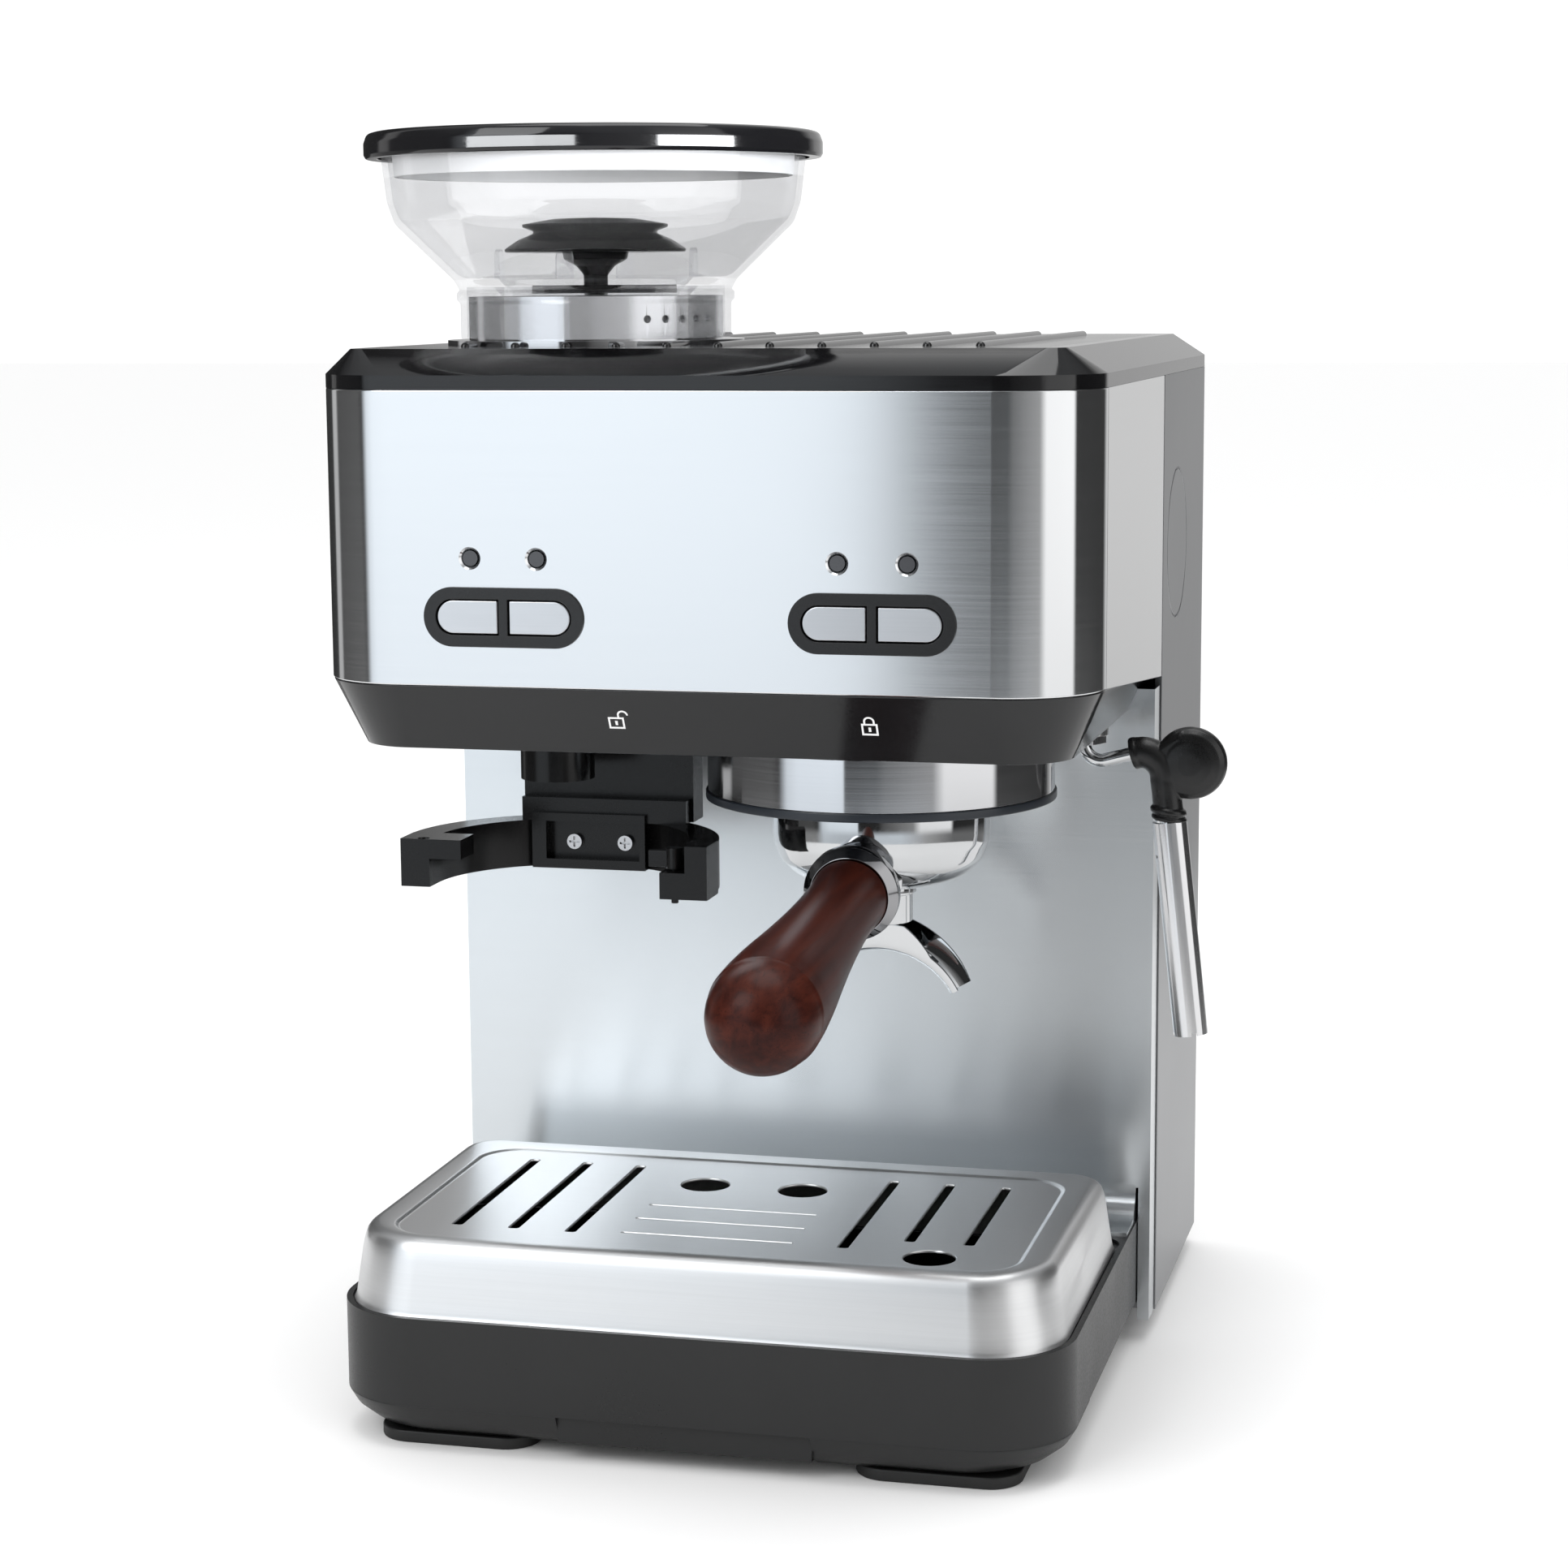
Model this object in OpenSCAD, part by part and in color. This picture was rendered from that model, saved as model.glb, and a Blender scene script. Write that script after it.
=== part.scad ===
// Counter-top espresso machine with integrated grinder, as an assembly of separate parts.
// Millimetres, +Z up, front towards -Y. The origin is on the ground plane, under the centre of the outline.

/* [Head] */
// half width of the head and rear housing
head_hw = 127; // [120:1:135]
// plan radius of the front corners of the head
head_r = 31; // [20:1:40]
// overall front-to-back depth of the head
head_d = 279; // [260:1:290]
// height of the upper edge of the steel front panel
panel_top = 335.6; // [325:0.2:345]
// height of the lower edge of the steel front panel
panel_bot = 242.2; // [230:0.2:250]
// underside of the head
head_bot = 220.3; // [210:0.1:225]
// top surface of the cup deck
deck_z = 348; // [340:0.5:352]

/* [Base] */
// half width of the base band
base_hw = 122; // [118:1:126]
// front face of the base band
base_y = -15; // [-30:1:0]
// plan radius of the base corners
base_r = 30; // [24:1:36]
// upper edge of the base band
band_top = 38; // [34:0.5:44]
// lower edge of the base band
band_bot = 8.6; // [6:0.2:12]
// ground plane below the datum
foot_z = -6.4; // [-8:0.1:-5]

/* [Group] */
// group axis, sideways
gx = 46.7; // [40:0.1:55]
// group axis, front to back
gy = 70.3; // [60:0.1:80]
// outer radius of the steel collar
collar_r = 57.2; // [55:0.1:60]
// underside of the collar ring
collar_z = 200.5; // [198:0.1:204]

/* [Portafilter] */
// outer radius of the filter cup
cup_r = 36; // [34:0.5:37]
// droop of the handle below level, degrees
droop = 7.6; // [0:0.1:12]
// largest radius of the handle
handle_r = 17.4; // [15:0.1:19]

/* [Hopper] */
// grinder axis, sideways
hx = -56.5; // [-62:0.1:-50]
// grinder axis, front to back
hy = 94; // [85:0.5:100]
// radius of the hopper lid
lid_r = 76.7; // [70:0.1:80]
// underside of the hopper lid
lid_z = 409.4; // [400:0.1:415]

/* [Drip tray] */
// half width of the tray cover at the skirt
tray_hw = 119; // [115:0.5:120]
// top surface of the tray cover
tray_z = 62.6; // [58:0.2:66]
// rear edge of the tray cover
tray_y1 = 121; // [115:1:128]

/* [Wand] */
// steam wand swivel axis, sideways
wx = 108.1; // [104:0.5:112]
// steam wand swivel axis, front to back
wy = 110; // [100:1:120]
// outward lean of the froth sleeve, degrees
lean = 6.3; // [0:0.1:12]

/* [Grinder drive] */
// gear module
gm = 1; // [1:1:1]
// teeth on the motor pinion
nt_p = 12; // [12:1:12]
// teeth on the burr gear
nt_g = 36; // [36:1:36]

/* [Hidden] */
$fn = 64;
ox = -11.5;
oy = -90.65;
oz = 6.4;
col_y = 148.7;      // front face of the splash panel
rear_y = 163;       // front edge of the rear housing
arm_r = 5.6;          // bend radius of the wand pipe
arm_z = 208.3;        // height of the level run of the wand pipe
ball_z = 218.4;       // centre of the wand ball
rise = 15;            // upward slope of the pipe towards the grip, degrees
sl_x = wx + 28.9;   // top of the froth sleeve
sl_z = 188.4;
el_r = 8;             // bend radius of the rubber elbow
el_x = sl_x - 14.3*sin(lean) - el_r*cos(lean);
el_z = sl_z + 14.3*cos(lean) + el_r*sin(lean);

module place() translate([ox, oy, oz]) children();
// frame at the top of the froth sleeve, its axis leaning outwards
module leaned() translate([sl_x, wy, sl_z]) rotate([0, -lean, 0]) children();

// plan outline with rounded front corners and optional rounded rear corners
module plan(hw, y0, y1, rf, rb = 0) {
  translate([-hw, y0 + rf]) square([2*hw, y1 - y0 - rf - rb]);
  translate([-hw + rf, y0]) square([2*(hw - rf), rf + 0.01]);
  for (s = [-1, 1]) translate([s*(hw - rf), y0 + rf]) circle(r = rf);
  if (rb > 0) {
    translate([-hw + rb, y1 - rb - 0.01]) square([2*(hw - rb), rb + 0.01]);
    for (s = [-1, 1]) translate([s*(hw - rb), y1 - rb]) circle(r = rb);
  }
}
module slab(z0, z1) translate([0, 0, z0]) linear_extrude(height = z1 - z0) children();
// stadium lying along X
module stadium(l, h) {
  square([l - h, h], center = true);
  for (s = [-1, 1]) translate([s*(l - h)/2, 0]) circle(d = h);
}
// extrude a front-view (X,Z) outline from y0 to y1
module front(y0, y1) translate([0, y1, 0]) rotate([90, 0, 0]) linear_extrude(height = y1 - y0) children();
// extrude a side-view (Y,Z) outline from x0 to x1
module side(x0, x1) translate([x0, 0, 0]) rotate([90, 0, 90]) linear_extrude(height = x1 - x0) children();
module tube(ro, ri, z0, z1) translate([0, 0, z0]) difference() {
  cylinder(r = ro, h = z1 - z0);
  translate([0, 0, -1]) cylinder(r = ri, h = z1 - z0 + 2);
}

// ---------- base ----------
module base_housing() color([0.16, 0.17, 0.18]) place() {
  difference() {
    union() {
      slab(band_bot, band_top) plan(base_hw, base_y, rear_y - 0.4, base_r);
      translate([-112, 140, 3.7]) cube([224, 85, 6]);
    }
    // well for the drip basin
    slab(band_bot + 3, band_top + 1) plan(base_hw - 7, base_y + 7, 126, base_r - 7, 10);
    // pocket behind the well for the pump bay
    translate([-112, 136, band_bot + 3]) cube([224, 40, band_top]);
    // lip step around the cover skirt
    slab(band_top - 1.2, band_top + 1) plan(base_hw - 2, base_y + 2, 126, base_r - 2, 8);
  }
}
module foot_blocks() color([0.15, 0.16, 0.17]) place() {
  // front corner blocks, narrowing towards the pads
  for (s = [-1, 1]) intersection() {
    hull() {
      slab(band_bot - 0.5, band_bot) plan(base_hw, base_y, 60, base_r, 20);
      slab(4, 4.5) plan(base_hw - 2.5, base_y + 2, 58, base_r - 2, 18);
      slab(0, 0.5) plan(base_hw - 7.5, base_y + 5, 55, base_r - 4, 16);
      slab(-2.4, -2) plan(base_hw - 14, base_y + 9, 50, base_r - 8, 12);
    }
    translate([s > 0 ? 42 : -130, -30, -10]) cube([88, 100, 30]);
  }
  // recessed centre apron between the blocks
  translate([-42, base_y + 2, -0.2]) cube([84, 8, 8.8]);
  // rear blocks
  for (s = [-1, 1]) translate([s > 0 ? 60 : -118, 214, -2.4]) cube([58, 50, 3.6]);
}
module rubber_feet() color([0.05, 0.05, 0.05]) place() {
  for (s = [-1, 1]) {
    slab(foot_z, -2.4) translate([s*80, 12]) {
      square([32, 40], center = true);
      square([54, 18], center = true);
      for (a = [-1, 1], b = [-1, 1]) translate([a*16, b*9]) circle(r = 11);
    }
    slab(foot_z, -2.4) translate([s*88, 239]) stadium(44, 20);
  }
}
module bottom_cover() color([0.10, 0.10, 0.11]) place() difference() {
  translate([-108, 66, 5.6]) cube([216, 72, 3]);
  for (i = [-3:3]) translate([i*18 - 2, 82, 0]) cube([4, 40, 20]);
}
// ---------- column ----------
module splash_panel() color([0.78, 0.80, 0.82]) place() {
  front(col_y, col_y + 1.5) {
    translate([-126.5, 50]) square([253, 178]);
    for (s = [-1, 1]) translate([s > 0 ? 122.4 : -126.5, 1.6]) square([4.1, 49]);
  }
  // side returns
  for (s = [-1, 1]) translate([s > 0 ? 125 : -126.5, col_y + 1.5, 1.6]) cube([1.5, 11, 226.4]);
  // cove running forward to the ledge behind the tray
  side(-121.5, 121.5) {
    difference() {
      translate([col_y - 12, band_top]) square([13.5, 13]);
      translate([col_y - 12, band_top + 13.5]) circle(r = 12);
    }
    translate([127.2, band_top]) square([9.6, 1.5]);
  }
}
module rear_housing() color([0.62, 0.63, 0.64]) place() {
  difference() {
    slab(1.2, panel_top) polygon([[-head_hw, rear_y], [head_hw, rear_y], [head_hw, head_d - 2.5], [head_hw - 2.5, head_d], [-head_hw + 2.5, head_d], [-head_hw, head_d - 2.5]]);
    // inner hollow
    translate([-head_hw + 2.5, rear_y - 1, 3.7]) cube([2*head_hw - 5, head_d - rear_y - 2, panel_top]);
    // opening for the water tank
    translate([-112, 200, 123]) cube([224, 100, 207]);
    // opening for the back panel
    translate([-112, 270, 12]) cube([224, 20, 106]);
    // groove around the round blank
    for (s = [-1, 1]) translate([s*head_hw, 200, 275]) rotate([0, 90, 0]) difference() {
      cylinder(r = 26.9, h = 1.6, center = true);
      cylinder(r = 26.1, h = 3, center = true);
    }
  }
}
module back_panel() color([0.12, 0.12, 0.13]) place() difference() {
  translate([-112, 275, 12]) cube([224, 3, 106]);
  for (r = [0:6]) translate([-40, 270, 30 + r*11]) cube([120, 12, 4]);
  translate([-80, 270, 35]) rotate([-90, 0, 0]) cylinder(r = 6, h = 12);
}
module power_inlet_gland() color([0.06, 0.06, 0.06]) place() translate([-80, 0, 35]) rotate([-90, 0, 0]) difference() {
  union() {
    translate([0, 0, 268]) cylinder(r = 9, h = 7);
    translate([0, 0, 275]) cylinder(r = 6, h = 3);
    translate([0, 0, 278]) cylinder(r = 9.5, h = 4, $fn = 6);
    translate([0, 0, 282]) cylinder(r1 = 7.5, r2 = 5.5, h = 4);
  }
  translate([0, 0, 266]) cylinder(r = 3.2, h = 30);
}
module tank_shelf() color([0.14, 0.14, 0.15]) place() difference() {
  union() {
    translate([-124.5, 176, 120]) cube([249, 100, 3]);
    translate([-124.5, 173, 120]) cube([249, 3, 212]);
    for (x = [-115, 112]) translate([x, 176, 123]) cube([3, 96, 209]);
    translate([0, 225, 106]) cylinder(r = 7, h = 15);
  }
  translate([0, 225, 100]) cylinder(r = 3, h = 30);
}
// ---------- head ----------
module bezel_hole(x) translate([x, 264.4]) stadium(50.4, 16.5);
module head_front_panel() color([0.80, 0.81, 0.83]) place() difference() {
  slab(panel_bot, panel_top) difference() {
    intersection() {
      plan(head_hw, 0, 60, head_r);
      translate([-200, -10]) square([400, head_r + 9.8]);
    }
    plan(head_hw - 1.5, 1.5, 61, head_r - 1.5);
  }
  front(-2, 4) { bezel_hole(-59.3); bezel_hole(59.3); }
  for (x = [-59.3, 59.3], d = [-10.95, 10.95]) translate([x + d, -1, 282.9]) rotate([-90, 0, 0]) {
    cylinder(r = 2.7, h = 5);
    translate([0, 0, 0.5]) cylinder(r1 = 3.6, r2 = 2.7, h = 1.2);
  }
}
module head_side_panels() color([0.80, 0.81, 0.83]) place()
  for (s = [-1, 1]) side(s > 0 ? head_hw - 1.5 : -head_hw, s > 0 ? head_hw : -head_hw + 1.5)
    polygon([[head_r + 0.1, panel_bot], [161.4, 231], [161.4, panel_top], [head_r + 0.1, panel_top]]);
module lower_trim() color([0.17, 0.18, 0.19]) place() difference() {
  hull() {
    slab(panel_bot - 0.6, panel_bot) plan(head_hw - 0.3, 0.3, 161.4, head_r);
    slab(head_bot, head_bot + 0.4) plan(head_hw - 10, 12.6, 161.4, 20);
  }
  hull() {
    slab(panel_bot - 0.6, panel_bot + 1) plan(head_hw - 3, 3, 170, head_r - 3);
    slab(head_bot - 1, head_bot + 0.4) plan(head_hw - 13, 15.6, 170, 18);
  }
  // clearance under the sloping edge of the side panels
  side(-140, 140) polygon([[head_r, panel_bot], [head_r, 260], [175, 260], [175, 229.8]]);
  // rear cut for the splash panel
  translate([-140, col_y - 0.3, head_bot - 2]) cube([280, 40, 9.9]);
  // pocket for the wand socket
  translate([wx, wy, head_bot - 1]) cylinder(r = 7, h = 13);
}
// open and closed padlock pictograms on the sloping front of the trim
module lock_body() difference() {
  square([5.2, 4.4], center = true);
  square([4.0, 3.2], center = true);
}
module shackle() difference() { circle(r = 1.8); circle(r = 1.2); translate([-3, -6]) square([6, 6]); }
module lock_icons() color([0.92, 0.92, 0.92]) place()
  for (k = [0, 1]) translate([k == 0 ? -24.6 : 57.2, 6.55, 231.2]) rotate([90 + 29.3, 0, 0]) linear_extrude(height = 0.35) {
    lock_body();
    square([0.8, 1.6], center = true);
    translate([k == 0 ? 2.4 : 0, 2.2 + 0.9]) { shackle(); translate([-1.8, -1.0]) square([0.6, 1.02]); if (k == 1) translate([1.2, -1.0]) square([0.6, 1.02]); }
  }
module head_bottom_plate() color([0.12, 0.12, 0.13]) place() difference() {
  slab(head_bot + 0.5, head_bot + 3) plan(head_hw - 13.2, 15.9, col_y, 17.8);
  translate([gx, gy, 200]) cylinder(r = 46, h = 40);
  translate([hx - 4, 56, 200]) cylinder(r = 12.3, h = 40);
  translate([wx, wy, 200]) cylinder(r = 7, h = 40);
}
module top_frame() color([0.07, 0.07, 0.075]) place() difference() {
  union() {
    slab(panel_top, 339.8) plan(head_hw, 0, head_d, head_r, 3);
    hull() {
      slab(339.8, 340) plan(head_hw, 0, head_d, head_r, 3);
      slab(deck_z - 0.2, deck_z) plan(head_hw - 11, 14.5, head_d - 8, 6, 3);
    }
  }
  slab(deck_z - 2.5, deck_z + 1) plan(head_hw - 17, 20.5, head_d - 14, 4, 4);
  slab(panel_top - 1, deck_z - 6) plan(head_hw - 4, 4, head_d - 4, head_r - 4, 3);
  slab(330, deck_z + 1) plan(head_hw - 24, 28, head_d - 60, 4, 4);
}
module cup_deck() color([0.09, 0.09, 0.095]) place() difference() {
  union() {
    slab(deck_z - 2.5, deck_z) plan(head_hw - 17.2, 20.7, head_d - 14.2, 4, 4);
    for (k = [-5:5]) translate([k*17, 0, deck_z]) {
      translate([0, 42, 0]) rotate([-90, 0, 0]) cylinder(r = 1.5, h = 205);
      translate([0, 42, 0]) sphere(r = 1.5);
      translate([0, 247, 0]) sphere(r = 1.5);
    }
  }
  translate([hx, hy, 330]) cylinder(r = 43, h = 30);
  translate([hx, hy, deck_z]) cylinder(r = 52, h = 30);
}
module hopper_seat_ring() color([0.75, 0.76, 0.77]) place() difference() {
  translate([hx, hy, 0]) {
    tube(42.8, 41, deck_z - 5.5, 364);
    tube(50, 42.8, deck_z, deck_z + 1.6);
    tube(41, 29.5, deck_z - 5.5, deck_z - 4);
  }
  for (a = [-50:9:-14]) translate([hx, hy, 356.5]) rotate([90, 0, a + 90]) cylinder(r = 1.3, h = 60);
}
// ---------- group ----------
module group_collar() color([0.80, 0.80, 0.82]) place() translate([gx, gy, 0]) {
  tube(collar_r, collar_r - 1.5, collar_z + 2.8, head_bot);
  tube(collar_r - 1.5, 46, head_bot - 2, head_bot);
  tube(51, 46, head_bot, head_bot + 0.5);
}
module collar_ring() color([0.14, 0.16, 0.19]) place() translate([gx, gy, 0]) tube(collar_r + 0.7, 45, collar_z, collar_z + 2.8);
module group_head() color([0.55, 0.56, 0.58]) place() translate([gx, gy, 0]) {
  tube(46, 42.6, collar_z + 2.8, 226);
  tube(42.6, 6, 216, 226);
  tube(28, 6, 214.2, 216);
  for (a = [0, 180]) rotate([0, 0, a]) {
    // bayonet ledge and its rotation stop
    rotate([0, 0, -23]) translate([0, 0, 204]) rotate_extrude(angle = 50) translate([37.6, 0]) square([5.2, 2]);
    rotate([0, 0, 27]) translate([38, -1, 206]) cube([4.8, 2, 10]);
  }
}
module group_gasket() color([0.06, 0.06, 0.06]) place() translate([gx, gy, 0]) tube(36.4, 29.5, 212.9, 216);
module shower_screen() color([0.72, 0.73, 0.74]) place() translate([gx, gy, 0]) difference() {
  union() {
    translate([0, 0, 211]) cylinder(r = 27.5, h = 3.2);
    translate([0, 0, 209.4]) cylinder(r = 4.5, h = 2);
  }
  translate([0, 0, 208]) cylinder(r = 1.7, h = 2.6, $fn = 6);
  for (r = [8, 14, 20], a = [0:30:359]) rotate([0, 0, a + r*2]) translate([r, 0, 210]) cylinder(r = 0.7, h = 10);
}
module boiler() color([0.70, 0.62, 0.45]) place() translate([gx, gy, 0]) {
  difference() {
    union() {
      translate([0, 0, 226]) cylinder(r = 46, h = 6);
      translate([0, 0, 232]) cylinder(r = 36, h = 62);
      translate([0, 0, 294]) cylinder(r = 40, h = 5);
      for (a = [0:60:359]) rotate([0, 0, a + 30]) translate([37.5, 0, 299]) cylinder(r = 3, h = 3, $fn = 6);
    }
    translate([0, 0, 225]) cylinder(r = 6, h = 14);
    translate([0, 0, 238]) cylinder(r = 30, h = 50);
  }
  translate([0, 0, 299]) cylinder(r = 6, h = 8);
}
module pump() color([0.35, 0.35, 0.36]) place() translate([20, 205, 45]) {
  rotate([0, 90, 0]) cylinder(r = 17, h = 52);
  translate([-2, -22, -20]) cube([2, 44, 40]);
  translate([52, -22, -20]) cube([2, 44, 40]);
  translate([54, 0, 0]) rotate([0, 90, 0]) cylinder(r = 7, h = 16);
  translate([-30, 0, 0]) rotate([0, 90, 0]) cylinder(r = 6, h = 28);
}
module pump_mounts() color([0.05, 0.05, 0.05]) place()
  for (x = [18, 72], y = [190, 220]) translate([x + 1, y, 9.7]) cylinder(r = 6, h = 15.3);
module solenoid_valve() color([0.50, 0.50, 0.52]) place() {
  translate([-100, 24, 226]) cube([26, 26, 30]);
  translate([-87, 37, 223.3]) cylinder(r = 6, h = 3);
  translate([-87, 37, 256]) cylinder(r = 9, h = 16);
}
module hoses() color([0.85, 0.85, 0.84]) place() {
  // tank outlet down to the pump inlet
  translate([0, 225, 62]) cylinder(r = 3, h = 44);
  translate([0, 225, 62]) sphere(r = 3);
  translate([0, 205, 62]) rotate([-90, 0, 0]) cylinder(r = 3, h = 20);
  translate([0, 205, 62]) sphere(r = 3);
  translate([0, 205, 51]) cylinder(r = 3, h = 11);
  // pump outlet up to the boiler
  translate([84, 205, 52]) cylinder(r = 3, h = 48);
  translate([84, 205, 100]) sphere(r = 3);
  translate([84, 168, 100]) rotate([-90, 0, 0]) cylinder(r = 3, h = 37);
  translate([84, 168, 100]) sphere(r = 3);
  translate([84, 168, 100]) cylinder(r = 3, h = 212);
  translate([84, 168, 312]) sphere(r = 3);
  translate([84, gy, 312]) rotate([-90, 0, 0]) cylinder(r = 3, h = 168 - gy);
  translate([84, gy, 312]) sphere(r = 3);
  translate([gx, gy, 312]) rotate([0, 90, 0]) cylinder(r = 3, h = 84 - gx);
  translate([gx, gy, 307]) cylinder(r = 3, h = 5);
  translate([gx, gy, 312]) sphere(r = 3);
}
module control_board() color([0.10, 0.28, 0.16]) place() {
  translate([-92, 12, 250]) cube([184, 1.6, 46]);
  for (x = [-59.3, 59.3]) {
    for (d = [-12, 12]) translate([x + d - 3, 7.6, 261.4]) cube([6, 4.4, 6]);
    // spacer against the back of the bezel
    translate([x - 1.5, 5, 261.4]) cube([3, 7, 6]);
  }
  translate([-10, 13.6, 262]) cube([20, 8, 20]);
}
module button_bezels() color([0.06, 0.06, 0.065]) place() for (x = [-59.3, 59.3]) translate([x, 0, 264.4]) difference() {
  union() {
    front(-0.9, 0) stadium(52.8, 18.9);
    front(0, 5) stadium(50.4, 16.5);
  }
  difference() {
    front(-3, 3.6) stadium(44.8, 11.4);
    translate([-1.45, -5, -10]) cube([2.9, 20, 20]);
  }
  for (s = [-1, 1]) translate([s*12, 0, 0]) rotate([-90, 0, 0]) cylinder(r = 2.5, h = 10);
}
module led_lenses() color([0.10, 0.10, 0.12]) place()
  for (x = [-59.3, 59.3], d = [-10.95, 10.95]) translate([x + d, 0.5, 282.9]) rotate([-90, 0, 0]) {
    cylinder(r = 2.45, h = 11.5);
  }
module button(x, s) color([0.80, 0.80, 0.82]) place() translate([x, 0, 264.4]) {
  intersection() {
    front(-0.5, 2.0) stadium(44, 10.6);
    translate([s > 0 ? 1.85 : -30, -5, -10]) cube([28.15, 20, 20]);
  }
  translate([s*12, 2, 0]) rotate([-90, 0, 0]) cylinder(r = 2.2, h = 4);
}
module button_l1() button(-59.3, -1);
module button_l2() button(-59.3, 1);
module button_r1() button(59.3, -1);
module button_r2() button(59.3, 1);
// ---------- grinder ----------
module grinder_housing() color([0.30, 0.30, 0.32]) place() difference() {
  union() {
    // burr chamber
    translate([hx, hy, 296]) cylinder(r = 34, h = 46.5);
    translate([hx, hy, 284]) cylinder(r = 9, h = 12);
    // drive frame standing on the bottom plate
    translate([hx - 46, hy - 24, 223.3]) cube([72, 48, 3]);
    for (x = [hx - 46, hx + 21], y = [hy - 24, hy + 19]) translate([x, y, 226.3]) cube([5, 5, 67]);
    translate([hx - 46, hy - 24, 293]) cube([72, 48, 3]);
    translate([hx, hy, 226.3]) cylinder(r = 9, h = 16);
  }
  translate([hx, hy, 300]) cylinder(r = 29, h = 60);
  translate([hx, hy, 230]) cylinder(r = 4.06, h = 80);
  translate([hx - 5, hy - 36, 301]) cube([10, 30, 12]);
}
module grinder_motor() color([0.45, 0.45, 0.47]) place() translate([hx - 24, hy, 0]) difference() {
  union() {
    translate([0, 0, 226.3]) cylinder(r = 14.5, h = 34);
    translate([0, 0, 260.3]) cylinder(r = 5, h = 1.4);
  }
  translate([0, 0, 250]) cylinder(r = 2.06, h = 20);
}
module gear2d(n, m, bore) difference() {
  union() {
    circle(r = m*(n/2 - 1.25));
    for (i = [0:n-1]) rotate(i*360/n) polygon([[m*(n/2 - 1.5), -0.80*m], [m*n/2, -0.55*m], [m*(n/2 + 0.85), -0.28*m], [m*(n/2 + 0.85), 0.28*m], [m*n/2, 0.55*m], [m*(n/2 - 1.5), 0.80*m]]);
  }
  if (bore > 0) circle(r = bore);
}
module motor_pinion() color([0.80, 0.68, 0.35]) place() translate([hx - gm*(nt_p + nt_g)/2, hy, 0]) {
  slab(264, 272) gear2d(nt_p, gm, 0);
  translate([0, 0, 252]) cylinder(r = 2, h = 12);
}
module burr_shaft() color([0.55, 0.55, 0.57]) place() translate([hx, hy, 0]) {
  slab(264.5, 271.5) rotate(180/nt_g + 180) gear2d(nt_g, gm, 0);
  translate([0, 0, 232]) cylinder(r = 4, h = 76);
  translate([0, 0, 302]) cylinder(r = 24, h = 5);
  translate([0, 0, 307]) cylinder(r1 = 22, r2 = 15, h = 7);
  for (a = [0:30:359]) rotate([0, 0, a]) translate([8, -0.8, 307]) cube([14, 1.6, 5]);
  translate([0, 0, 314]) cylinder(r1 = 8, r2 = 4, h = 8);
}
module grinder_chute() color([0.05, 0.05, 0.055]) place() difference() {
  union() {
    translate([hx - 4, 56, 205.4]) cylinder(r = 12.3, h = 90.6);
    translate([hx - 9, 46, 296]) cube([18, 18, 22]);
  }
  translate([hx - 4, 56, 200]) cylinder(r = 10, h = 94);
  translate([hx - 6, 49, 293]) cube([12, 20, 22]);
  translate([hx, hy, 296]) cylinder(r = 34, h = 40);
}
// ---------- dosing cradle ----------
cr_z0 = 171.2; cr_z1 = 187.2;
module cradle_bracket() color([0.05, 0.05, 0.055]) place() difference() {
  union() {
    // neck down from the head
    translate([-81, 82, 187.2]) cube([60, 12, head_bot + 0.5 - 187.2]);
    translate([-80, 76, 187.2]) cube([58, 18, 8]);
    // fork ring sector, open to the front
    slab(cr_z0, cr_z1) translate([-55, 40]) difference() {
      circle(r = 52.5);
      circle(r = 42.5);
      translate([-60, -90]) square([120, 90]);
    }
    translate([-76, 74, cr_z0]) cube([40, 20, cr_z1 - cr_z0 + 3]);
    // arm tips
    slab(cr_z0, cr_z1) translate([-55, 40]) for (s = [-1, 1]) translate([s > 0 ? 42.5 : -52.5, -9]) square([10, 10]);
    slab(cr_z1 - 6.5, cr_z1) translate([-55, 40]) translate([-52.5, -9]) square([21, 13]);
    slab(cr_z0 - 1, cr_z1 - 4) translate([-55, 40]) translate([36.5, -9]) square([16, 14]);
    slab(cr_z1 - 4, cr_z1 + 0.6) translate([-55, 40]) translate([44, -9]) square([8.5, 14]);
  }
  // recess for the screws
  translate([-71, 70, 174.4]) cube([33, 9, 13]);
  for (x = [-62, -44]) translate([x, 70, 180]) rotate([-90, 0, 0]) cylinder(r = 1.6, h = 20);
  // slot for the switch lever
  translate([-20, 30, 178.9]) cube([10, 12.4, 12]);
  translate([-15, 37, 165]) cylinder(r = 1.26, h = 30);
  // dimple in the left tip
  translate([-100, 33, cr_z1 - 1.2]) cylinder(r = 2, h = 3);
}
module cradle_screws() color([0.80, 0.80, 0.81]) place()
  for (x = [-62, -44]) translate([x, 79, 180]) rotate([-90, 0, 0]) {
    difference() {
      translate([0, 0, -1.8]) cylinder(r = 2.6, h = 1.8);
      translate([-1.8, -0.35, -2.4]) cube([3.6, 0.7, 1.6]);
      translate([-0.35, -1.8, -2.4]) cube([0.7, 3.6, 1.6]);
    }
    cylinder(r = 1.6, h = 9);
  }
module grind_lever() color([0.10, 0.10, 0.11]) place() {
  difference() {
    union() {
      translate([-15, 37, 179.4]) cylinder(r = 2.6, h = 7);
      translate([-23.5, 35.6, 180]) cube([8.5, 2.8, 5.4]);
    }
  }
  translate([-15, 37, 168]) cylinder(r = 1.2, h = 18.4);
}
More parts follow.
